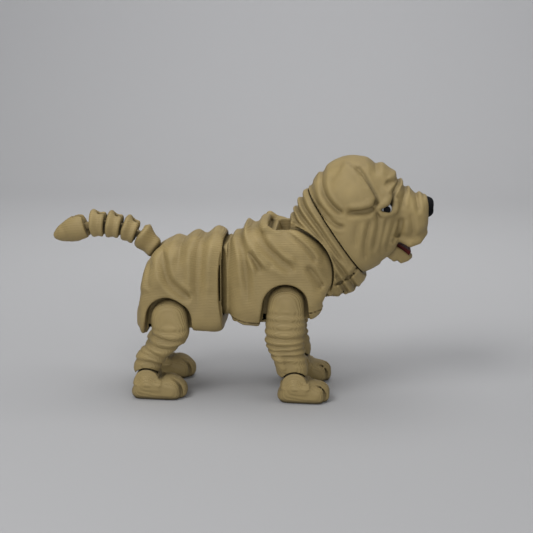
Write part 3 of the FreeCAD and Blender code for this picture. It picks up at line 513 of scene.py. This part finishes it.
SEAM_X, SEAM_Z, SEAM_TILT = 48, 83.5, math.radians(34.8)
NECK = [(-25, -24.5, 6.5, 13), (-20, -26, 13, 16), (-15, -28, 19, 18), (-10, -28.8, 22, 19),
        (-5, -28.4, 24.6, 19.5), (-0.2, -26.5, 25.4, 19.4)]
NECK_POWER = 2.3
NECK_FOLDS = [
    crease([(27.4, 104), (30.6, 99.8), (32.3, 96.9), (34.7, 94.1), (36.8, 91.5), (38.9, 89), (43.2, 83),
            (48.2, 76), (53, 69)], 1.5, 2.3, (0, 8)),
    crease([(24.8, 99.2), (28.2, 95.4), (29.5, 93.9), (31.9, 91.5), (34.7, 88.6), (37.6, 85.7), (40.1, 82.8),
            (42.6, 79.5), (45.5, 75.3), (48.6, 71), (52, 66), (55, 61.5), (57, 57)], 1.7, 2.5, (0, 0)),
    crease([(22.6, 95.2), (26.6, 92.4), (28.4, 89.9), (32.5, 87), (36.3, 83.8), (39.2, 80), (42.0, 76),
            (44.5, 71.5), (46.8, 67), (49.5, 62), (53.0, 55)], 1.3, 2.1, (0, 0)),
    crease([(45.5, 58.6), (48.5, 60.4), (52, 62.4), (55.3, 65), (58.2, 68.6)], 1.1, 2.2, (2, 0)),
    crease([(50.6, 50), (51.4, 54), (52.6, 57)], 0.9, 1.8, (0, 2)),
    crease([(58.2, 55), (57.0, 58.4), (56.6, 61)], 0.9, 1.8, (0, 2)),
    lump(48.6, 53.0, 0.9, 2.4),
    lump(55, 55.4, 1.0, 2.4),
    lump(60.4, 60, 0.7, 2.0),
    ridge([(31.4, 103), (33.4, 99.8), (37.6, 93.8), (41.6, 88.2), (48.2, 78.6), (54, 70.4), (58.4, 64.6)],
          0.35, 0.9),
]


def seam_places(x, z):
    """How far forward of the head's slanted seam a place is, and how far up beside it."""
    c, s = math.cos(SEAM_TILT), math.sin(SEAM_TILT)
    along = (x - SEAM_X) * c + (z - SEAM_Z) * s
    rise = (z - SEAM_Z) * c - (x - SEAM_X) * s
    return along, rise


def neck():
    """Neck and throat cap as one skin, with folds that run along the seam."""
    shell = Field("neck_upper", "neck_lower")
    x, y, z = shell.grid()
    along, rise = seam_places(x, z)
    depth = shell.near_surface(skin_depth(NECK, NECK_POWER, NECK_POWER, along, y, rise))
    clear = smooth(np.hypot(x - COLLAR_X, z - COLLAR_Z), 23.4, 24.6) * smooth(-along, 0.2, 0.8)
    shell.fold(outer(depth) * clear.astype(np.float32), NECK_FOLDS)
    finish_piece(shell.mesh("neck_folded"), "neck", tan, "tan_plastic", "neck_upper", "neck_lower")


# ---------------------------------------------------------------- head

SKULL = [(30.8, 58, 102, 15), (36.8, 58, 110, 18.5), (44.8, 59, 117.8, 20.6), (53.8, 61, 120.6, 21.4),
         (62.8, 64, 119.4, 21), (69.8, 68, 116.6, 18.8), (74.8, 71.5, 113.8, 16.6), (77.8, 76, 109.6, 14)]
MUZZLE = [(66.8, 82, 111, 14), (74.8, 80.2, 109.4, 15.2), (80.8, 79.7, 106.2, 14.6),
          (85.8, 80.2, 103.4, 13.6), (89.8, 83.2, 102.4, 11.6), (92, 87.5, 99, 8)]
SKULL_POWERS, MUZZLE_POWERS = (2.3, 2.6), (2.4, 3.0)
EYE_X, EYE_Z = 71, 98
HEAD_FOLDS = [
    # the ear's front edge and the cheek fold below it
    crease([(55.4, 117.6), (57.8, 116), (59.9, 113.5), (61.9, 110.2), (64.1, 106.2), (65.9, 102.9),
            (66.6, 100)], 1.2, 2.6, (3, 1)),
    crease([(66.2, 101.5), (66.8, 97.4), (67.5, 93.6), (67.7, 90.4), (67.2, 86.6), (66.6, 82.4), (65.8, 79.4),
            (65.3, 75.8)], 0.9, 3.0, (2, 6)),
    # under the ear
    crease([(51.4, 96.2), (54.4, 96.6), (57.5, 97.0), (60.2, 97.3), (62.8, 97.8), (65.6, 99.2)],
           1.9, 3.4, (4, 1)),
    # behind the ear and along the seam
    crease([(34.2, 109), (34.9, 106.4), (36, 103.9), (37.2, 101.6), (38.9, 98.9), (41.4, 96.2), (44, 93.6),
            (46.4, 91.4), (49.2, 90), (52.6, 89.8)], 1.5, 2.5, (2, 3)),
    crease([(41.6, 116.5), (40.6, 113), (40.4, 109.6), (41.2, 106.4), (42.4, 103.8), (44.2, 101.4),
            (46.4, 99.2), (49, 97.2), (52, 96.2)], 1.3, 2.6, (3, 3)),
    # forehead
    crease([(64.4, 122), (65.5, 119), (66, 115.4), (65.9, 112.2)], 1.3, 3.8, (0, 4)),
    lump(70.5, 118.5, 0.5, 3.2),
    lump(55, 121.5, 0.3, 6.0),
    # the brow that hangs over the eye and the bridge
    crease([(79.5, 111.2), (77.0, 110.9), (74.2, 109.6), (71.6, 109.8), (70.2, 110.6)], 1.5, 2.9, (0, 2)),
    crease([(78.0, 110.6), (75.6, 107.5), (74.1, 105), (73.2, 102.6), (72.8, 100.2)], 1.9, 2.2, (1, 0)),
    lump(71.2, 105.8, 1.0, 2.8),
    lump(69.0, 102.6, 0.7, 2.4),
    lump(75.8, 102.2, -0.7, 2.0),
    lump(79.0, 104.8, 0.5, 2.0),
    # the bridge's bumps
    crease([(82.4, 109.2), (80.9, 107.2), (80.2, 104.8), (79.4, 102.2), (79.0, 99.2), (79.2, 97)],
           1.1, 2.5, (0, 3)),
    crease([(84.6, 107), (84.8, 105.2), (85.7, 102.8), (86.3, 99.8), (86.8, 96.8), (87.3, 94.4)],
           1.0, 2.4, (0, 3)),
    lump(78.8, 109.6, 0.5, 1.8),
    lump(82.8, 106.2, 0.4, 1.8),
    lump(87.4, 104.2, 0.5, 1.8),
    # muzzle
    crease([(82.6, 96.4), (83.3, 94.2), (83.9, 92), (84.3, 89.4), (84.5, 86.6), (84.2, 83.6)],
           0.7, 2.9, (3, 3)),
    ridge([(78.8, 94.4), (78.5, 90), (77.7, 87), (76.6, 83.4)], -1.5, 2.0, (3, 1)),
    crease([(78.6, 93.5), (77.8, 88), (76.6, 85), (75.0, 82.0)], 0.8, 2.0, (3, 0)),
    ridge([(88.2, 92), (88.6, 87.5), (87.2, 83.6)], 0.35, 2.2),
    ridge([(80.9, 93), (81.3, 88), (80.6, 83)], 0.5, 1.5),
    # cheek folds
    crease([(75.9, 93.8), (75.3, 91.4), (74.6, 88.4), (73.6, 84.6), (72.6, 80.6), (71.9, 76.4)],
           0.85, 2.6, (3, 3)),
    crease([(71.8, 94.4), (71.3, 91), (70.5, 87), (69.7, 82.6), (69.2, 78.4), (69, 74.6)], 0.6, 2.4, (3, 4)),
    crease([(63.9, 94.6), (63.3, 90.4), (62.5, 86.4), (61.8, 82), (61.6, 77.4), (61.9, 72)],
           0.9, 2.8, (4, 4)),
    crease([(58.3, 93.4), (57.5, 89), (57, 84), (57.4, 79)], 0.6, 3.0, (4, 4)),
]


def face_side(shell, side):
    """One side's lids, upper lip and ear rim, as soft tubes on the skin."""
    def on_skin(px, pz, lift):
        return px, side * (skin_half(SKULL, *SKULL_POWERS, px, pz) + lift), pz

    lower_lid = [on_skin(67.2, 98.0, -0.3), on_skin(69.2, 96.2, -0.2), on_skin(71.2, 95.6, -0.1),
                 on_skin(73.4, 95.8, -0.2), on_skin(75.2, 97.0, -0.3)]
    upper_lid = [on_skin(67.0, 99.0, 0.0), on_skin(69.2, 100.4, 0.5), on_skin(71.2, 101.6, 0.7),
                 on_skin(72.4, 103.6, 0.5), on_skin(72.8, 106.0, 0.0)]
    front_lid = [on_skin(75.4, 97.2, -0.1), on_skin(76.0, 99.2, -0.1), on_skin(75.8, 101.4, -0.2)]
    upper_lip = [(80.0, side * 11.6, 82.0), (83.5, side * 11.3, 80.6), (87.2, side * 9.8, 81.6),
                 (90.2, side * 6.8, 84.6)]
    ear_rim = [(59.6, 112.6), (62.2, 108.2), (64.4, 103.6), (63.2, 101.6), (59.6, 100.2), (55.6, 99.8)]
    shell.strand(lower_lid, [0.7, 1.2, 1.4, 1.3, 0.9], 1.8)
    shell.strand(upper_lid, [1.0, 1.7, 2.0, 1.6, 1.0], 1.4)
    shell.strand(front_lid, 1.2, 1.6)
    shell.strand(upper_lip, [1.6, 2.2, 2.1, 1.6], 2.2)
    shell.strand([on_skin(px, pz, 1.0) for px, pz in ear_rim], [0.3, 1.0, 1.4, 1.4, 1.1, 0.4], 2.2)


def head():
    """The head: rounded edges except at the eye sockets and the nose's seat, then its folds."""
    shell = Field("head_shell")
    x, y, z = shell.grid()
    apart = 9.0
    skull = skin_depth(SKULL, *SKULL_POWERS, x, y, z) + np.where(x > SKULL[-1][0], apart, 0.0)
    muzzle = skin_depth(MUZZLE, *MUZZLE_POWERS, x, y, z) + np.where(x < MUZZLE[0][0], apart, 0.0)
    depth = shell.near_surface(np.minimum(skull, muzzle))
    along, _ = seam_places(x, z)
    mask = outer(depth) * smooth(along, 0.4, 1.1).astype(np.float32)
    off_socket = smooth(np.hypot(x - EYE_X, z - EYE_Z), 3.4, 4.2).astype(np.float32)
    seat_x, seat_z, seat_half_width = 90.2, 90, 7.2
    off_seat = np.maximum(seat_x - x, np.maximum(seat_z - z, np.abs(y) - seat_half_width))
    off_seat = smooth(off_seat, -0.2, 0.8).astype(np.float32)
    shell.soften(mask * off_seat * off_socket, 1.0)
    ear_back = smooth(57.5 - x, 0, 4) * smooth(x, 37, 41) * smooth(z, 92, 95) * smooth(np.abs(y), 13, 16)
    shell.soften(mask * ear_back.astype(np.float32), 2.4)
    shell.fold(mask * off_seat, HEAD_FOLDS)
    for side in SIDES.values():
        face_side(shell, side)
    lip_groove = [(93.6, 0, 92.2), (92.8, 0, 88.4), (91.2, 0, 84.6), (88.4, 0, 81)]
    shell.strand(lip_groove, 0.5, 0.9, carve=True)
    finish_piece(shell.mesh("head_folded"), "head", tan_fine, "tan_plastic", "head_shell")


def nose():
    """The nose pad, with two nostrils and a groove down its middle."""
    pad = Field("nose")
    for side in SIDES.values():
        nostril = [(95.6, side * 2.6, 97.4), (94.0, side * 3.6, 96.4), (93.4, side * 5.8, 95.2)]
        pad.strand(nostril, [0.7, 0.9, 0.5], 0.6, carve=True)
    pad.strand([(95.6, 0, 97), (94.6, 0, 92)], 0.35, 0.5, carve=True)
    finish_piece(pad.mesh("nose_pad"), "head", black, "black_plastic", "nose")


def jaw():
    """The lower jaw: the CAD blade with rounded edges, a narrower tip and a soft bump under its chin."""
    shell = Field("lower_jaw")
    x, y, _ = shell.grid()
    mask = smooth(x, 72, 74).astype(np.float32)
    shell.soften(mask, 1.1)
    shell.strand([(82.4, -3.4, 71.6), (83.6, 0, 71.2), (82.4, 3.4, 71.6)], 1.9, 1.5)
    half_width = 9.2 - 3.4 * smooth(x, 76, 85)
    narrowed = np.maximum(shell.d, np.abs(y) - half_width)
    shell.d += mask * (narrowed - shell.d)
    shell.soften(mask, 0.7)
    shell.fold(mask, [crease([(77.9, 67), (77.6, 70.4), (77.4, 72.6)], 0.8, 2.0, (0, 2)),
                      ridge([(76, 79.2), (80, 77), (83.4, 74.6)], 0.35, 0.9)])
    finish_piece(shell.mesh("lower_jaw_folded"), "jaw", tan_fine, "tan_plastic", "lower_jaw")


# ---------------------------------------------------------------- legs and paws

ANKLE_Z = 9.5
HIND_ANKLE_X, FORE_ANKLE_X = -45.2, 28.4
LEG_Y = 16  # how far a paw's middle is from the dog's
TOP_X = (0, 5.6, 10.5, 15, 18.5)
# the paws' lengths forward of the ankle, except the heel's, which is behind it
PAWS = {
    "front": {"top_x": TOP_X, "top_z": (12.2, 11.4, 10.4, 9.6, 7.6), "heel": 5.8, "outer_toe": 14.6,
              "tip": 17.6, "groove_top": 10.6},
    "rear": {"top_x": TOP_X, "top_z": (12.6, 12.4, 12.4, 11.4, 8.8), "heel": 5.2, "outer_toe": 16.6,
             "tip": 20.2, "groove_top": 12.4},
}
HIND_LEG_FOLDS = [
    crease([(-43.5, 35.6), (-38.5, 35.2), (-34, 34.9), (-27, 35.4), (-24, 35.8)], 0.4, 2.2, (2, 2)),
    crease([(-44.6, 33.6), (-42, 33), (-38.5, 31.8), (-34.5, 30.6), (-30.1, 30.2), (-25, 31)],
           0.75, 2.3, (1, 2)),
    crease([(-46, 29), (-43, 28.2), (-40.1, 27.3), (-37.3, 26.7), (-34.1, 26.4), (-30.5, 26.8), (-26.5, 28)],
           0.75, 2.3, (1, 1)),
    crease([(-49, 27.6), (-45.5, 26.2), (-43.6, 25.4), (-41.5, 24.1), (-39.4, 22.9), (-36.8, 21.6),
            (-33.2, 20.6)], 0.7, 2.0, (1, 1)),
    crease([(-50, 24.6), (-47, 24.2), (-44.2, 23.4), (-41.4, 22.4), (-38.7, 21.4), (-35.8, 19.4)],
           0.5, 1.7, (2, 1)),
    crease([(-54, 18.6), (-51, 19.6), (-48.3, 19.9), (-45.4, 19.8), (-42.7, 19.3), (-40.4, 18.6),
            (-38.4, 17.6), (-36.4, 15.8)], 0.7, 1.9, (0, 0)),
]
FORE_LEG_FOLDS = [
    crease([(13, 45.2), (20, 45.4), (28, 45.2), (34, 45)], 0.35, 2.0, (3, 3)),
    crease([(13, 41.8), (20, 41.6), (28, 41.5), (35, 41.4)], 0.4, 2.0, (2, 2)),
    crease([(11, 37.4), (17, 37.6), (23, 37.4), (30, 37.8), (35, 38)], 0.3, 1.8, (2, 2)),
    crease([(11, 33.8), (16, 33.4), (21, 33.1), (26, 33), (31, 33.4), (35, 33.8)], 0.8, 2.3, (0, 2)),
    crease([(11, 29.8), (16, 29.4), (22, 29.2), (28, 29.6), (35, 30.4)], 0.7, 1.9, (0, 0)),
    crease([(11, 27.2), (16, 26.9), (21, 26.8), (26, 27), (31, 27.6), (36, 28)], 0.8, 1.9, (0, 0)),
    crease([(11, 24.4), (16, 24.5), (22, 24.4), (28, 24.3), (36, 24)], 0.7, 1.9, (0, 0)),
    crease([(15, 20.6), (20, 21), (26, 20.6), (36, 20)], 0.3, 2.0, (2, 2)),
]


def leg(end, side_name, side, folds, ankle_x):
    """One leg: ring folds, and on a foreleg a cuff that hangs over the back of its ankle."""
    name = f"leg_{end}_{side_name}"
    shell = Field(name)
    x, y, z = shell.grid()
    off_ankle = smooth(np.hypot(x - ankle_x, z - ANKLE_Z), 7.0, 8.2)
    clear = off_ankle * smooth(side * y, 11.2, 13.4)
    mask = (clear * smooth(z, 8, 12)).astype(np.float32)
    shell.soften(mask, 0.5)
    if end == "front":
        for y_part in (-3.2, 0.5, 4.0):
            middle = side * (16.4 + y_part)
            cuff = [(19.0, middle, 27.0), (21.4, middle, 22.4), (22.6, middle, 18.4)]
            shell.strand(cuff, [2.4, 3.0, 2.2], 2.0)
    shell.fold(mask, folds)
    finish_piece(shell.mesh(name + "_folded"), name, tan_flat, "tan_plastic", name)


def paw(end, side_name, side, ankle_x):
    """One paw: a rounded heel, a dome over the ankle, and two longer toes between two shorter ones."""
    name = f"paw_{end}_{side_name}"
    shape = PAWS[end]
    foot = Field(name)
    x, y, z = foot.grid()
    middle = side * LEG_Y
    part, beside = x - ankle_x, np.abs(y - middle)
    whole = foot.d.copy()
    ceiling = np.interp(part, shape["top_x"], shape["top_z"]) - 0.035 * beside ** 2
    foot.carve(0.85 * (ceiling - z), 2.0)
    half_width = 8.0 - 0.03 * np.maximum(z - 5, 0) ** 2
    foot.carve(half_width - beside, 2.0)
    heel = ankle_x - shape["heel"]
    foot.carve((x - heel + 2.4) * 0.81 - (z - 4) * 0.58, 2.0)  # a slope down the back
    foot.strand([(heel, side * 13.2, 3.3), (heel, side * 18.8, 3.3)], 3.0, 2.5)
    if end == "front":
        foot.carve(shape["tip"] - part, 2.4)
    foot.carve(np.maximum(4.1 - beside, shape["outer_toe"] - part), 1.8)
    away = np.hypot(part, z - ANKLE_Z)
    free = np.maximum(smooth(away, 7.2, 8.4), smooth(8.2 - z, 0, 1.5))
    mask = (free * smooth(z, -0.4, 0.8)).astype(np.float32)
    foot.d = whole + mask * (foot.d - whole)
    foot.strand([(ankle_x, middle - 3.5, 9.0), (ankle_x, middle + 3.5, 9.0)], 4.4, 1.6)
    for y_part in (-5.2, 5.2):
        flank = [(ankle_x - 4.0, middle + y_part, 6.4), (ankle_x, middle + y_part, 7.6),
                 (ankle_x + 5.2, middle + y_part, 6.8)]
        foot.strand(flank, [2.2, 2.7, 2.5], 2.6)
    foot.soften(mask, 1.4)
    for gap in (-4.1, 0, 4.1):
        end_x = ankle_x + (shape["outer_toe"] + 0.3 if gap else shape["tip"])
        top = shape["groove_top"]
        groove = [(end_x - 7.4, middle + gap, top + 1.4), (end_x - 4.2, middle + gap, top - 0.6),
                  (end_x - 1.4, middle + gap, top - 3.6), (end_x, middle + gap, 4.6),
                  (end_x + 0.3, middle + gap, 0.4)]
        foot.strand(groove, [0.1, 0.5, 0.8, 0.9, 0.7], 0.7, carve=True)
    foot.d = np.maximum(foot.d, -z)
    finish_piece(foot.mesh(name + "_rounded"), name, tan_flat, "tan_plastic", name)


# ---------------------------------------------------------------- tail

SKIRT = 0.45
# each link's start and end, as x and z on its axis, and its radius
TAIL = [(-42.4, 71.7, -50.6, 79.4, 6.1), (-52.4, 80.4, -58.5, 83, 6.1), (-60.1, 83.3, -66.6, 84.5, 6.1),
        (-68.2, 84.4, -74.7, 84.5, 6.3)]


def tail_link(i, ax, az, bx, bz, radius):
    """One link: its rear rim flares, most at the top, a skirt closes the gap below, and a hollow rings it."""
    node = f"tail_link_{i}"
    shell = Field(node)
    x, y, z = shell.grid()
    run = math.hypot(bx - ax, bz - az)
    ux, uz = (bx - ax) / run, (bz - az) / run
    along = (x - ax) * ux + (z - az) * uz
    up = (z - az) * -ux + (x - ax) * uz
    radial = np.hypot(up, y)
    mask = smooth(radial, radius - 2.4, radius - 1.2) * smooth(along, -1.2, 0.4)
    mask = (mask * smooth(run + 1 - along, 0, 0.8)).astype(np.float32)
    place = np.clip(along / run, 0, 1)
    flare = (0.35 + 0.9 * smooth(up, -3, 5)) * place ** 2 + 0.25
    shell.d -= (mask * np.where(np.abs(shell.d) < FOLD_REACH, flare, 0)).astype(np.float32)
    skirt = smooth(radial, 3.0, 3.8) * smooth(-up, -2.5, 0) * smooth(along, run - 1.2, run - 0.6)
    shell.d -= (SKIRT * skirt).astype(np.float32)
    if i == 1:
        shell.d += (mask * 1.5 * (1 - place)).astype(np.float32)
    half = radius + 3
    mx, mz = ax + ux * run * 0.42, az + uz * run * 0.42
    ring = ridge([(mx + uz * half, mz - ux * half), (mx, mz), (mx - uz * half, mz + ux * half)],
                 -0.2, run * 0.15, (1, 9))
    shell.soften(mask, 0.6)
    shell.fold(mask, [ring])
    finish_piece(shell.mesh(node + "_folded"), f"tail_{i}", tan, "tan_plastic", node)


def tail_tip():
    """The tail's tip, with one faint crease."""
    tip = Field("tail_tip")
    x, _, _ = tip.grid()
    mask = smooth(-79.5 - x, 0, 1.5).astype(np.float32)
    tip.fold(mask, [crease([(-90.5, 86), (-88.6, 82), (-87.4, 78), (-87, 74)], 0.3, 3.4)])
    finish_piece(tip.mesh("tail_tip_folded"), "tail_5", tan, "tan_plastic", "tail_tip")


rear_body()
front_body()
neck()
head()
nose()
jaw()
for side_name, side in SIDES.items():
    leg("rear", side_name, side, HIND_LEG_FOLDS, HIND_ANKLE_X)
    leg("front", side_name, side, FORE_LEG_FOLDS, FORE_ANKLE_X)
    paw("rear", side_name, side, HIND_ANKLE_X)
    paw("front", side_name, side, FORE_ANKLE_X)
for i, link_shape in enumerate(TAIL, start=1):
    tail_link(i, *link_shape)
tail_tip()

# ---------------------------------------------------------------- CAD pieces that stay

for name, node in frame["nodes"].items():
    if node.hide_render:
        continue
    material = peg_tan
    if name.startswith("eye_white"):
        material = eye_white
    elif name.startswith(("pupil", "nose")):
        material = black
    elif name == "tongue":
        material = tongue_red
    elif name.endswith("belly_cap"):
        material = tan
    node.data.materials.clear()
    node.data.materials.append(material)

# ---------------------------------------------------------------- floor, light and camera


def pale_card():
    """Matt card for the sweep, with painted shade: a little darker where it rises into the wall."""
    material, tree, shader = new_material("pale_card", 0.85)
    place = tree.nodes.new("ShaderNodeTexCoord").outputs["Object"]
    split = tree.nodes.new("ShaderNodeSeparateXYZ")
    link(tree, place, split.inputs[0])
    # painted shade: the grey darkens a little from the floor up the wall
    grey = two_tones(tree, split.outputs["Z"], FLOOR_GREY, WALL_GREY, start=0.0, end=0.3)
    link(tree, grey, shader.inputs["Base Color"])
    return material


def studio():
    """A pale sweep in metres: floor, round corner and wall in one sheet."""
    front, corner, radius, wall, half_width = -0.7, 0.5, 0.35, 1.2, 1.6
    profile = [(front, 0.0), (corner, 0.0)]
    profile += [(corner + radius * math.sin(a), radius - radius * math.cos(a))
                for a in np.linspace(0, math.pi / 2, 24)[1:]]
    profile.append((corner + radius, wall))
    verts = [(x, y, z) for y, z in profile for x in (-half_width, half_width)]
    faces = [(2 * i, 2 * i + 1, 2 * i + 3, 2 * i + 2) for i in range(len(profile) - 1)]
    mesh = bpy.data.meshes.new("studio_sweep")
    mesh.from_pydata(verts, [], faces)
    mesh.polygons.foreach_set("use_smooth", [True] * len(faces))
    sweep = bpy.data.objects.new("studio_sweep", mesh)
    bpy.context.scene.collection.objects.link(sweep)
    mesh.materials.append(pale_card())


def area_light(name, place, target, size, energy):
    """A round white light that faces its target, in metres."""
    light = bpy.data.lights.new(name, "AREA")
    light.shape = "DISK"
    light.size = size
    light.energy = energy
    lamp = bpy.data.objects.new(name, light)
    lamp.location = place
    lamp.rotation_euler = (Vector(target) - Vector(place)).to_track_quat("-Z", "Y").to_euler()
    bpy.context.scene.collection.objects.link(lamp)


def camera():
    """The view from the dog's right side, a little from the front and above."""
    azimuth, elevation, distance = math.radians(4.34), math.radians(14.33), 600 * MM
    roll = math.radians(0.13)
    target = Vector((12.9, 0, 64.3)) * MM
    away = Vector((math.sin(azimuth) * math.cos(elevation), -math.cos(azimuth) * math.cos(elevation),
                   math.sin(elevation)))
    data = bpy.data.cameras.new("camera")
    data.lens, data.sensor_width = 81, 36
    data.clip_start, data.clip_end = 0.01, 10
    obj = bpy.data.objects.new("camera", data)
    turn = (-away).to_track_quat("-Z", "Y").to_matrix() @ Matrix.Rotation(roll, 3, "Z")
    obj.matrix_world = Matrix.Translation(target + away * distance) @ turn.to_4x4()
    bpy.context.scene.collection.objects.link(obj)
    bpy.context.scene.camera = obj


def world(strength):
    """An even, faintly blue light from all round."""
    scene = bpy.context.scene
    scene.world = scene.world or bpy.data.worlds.new("world")
    scene.world.use_nodes = True
    background = scene.world.node_tree.nodes["Background"]
    background.inputs["Color"].default_value = (0.86, 0.88, 0.93, 1)
    background.inputs["Strength"].default_value = strength
    scene.view_settings.view_transform = "Standard"


studio()
area_light("key", (-0.35, -0.45, 0.75), (0, 0, 0.05), size=0.4, energy=3.6)
area_light("top", (0.15, 0.1, 0.9), (0, 0, 0), size=0.8, energy=3.8)
area_light("fill", (0.1, -1.1, 0.3), (0, 0, 0.06), size=0.9, energy=5.0)
area_light("backdrop", (0, 0.3, 0.5), (0, 0.9, 0.1), size=0.6, energy=1.3)
world(strength=0.27)
camera()
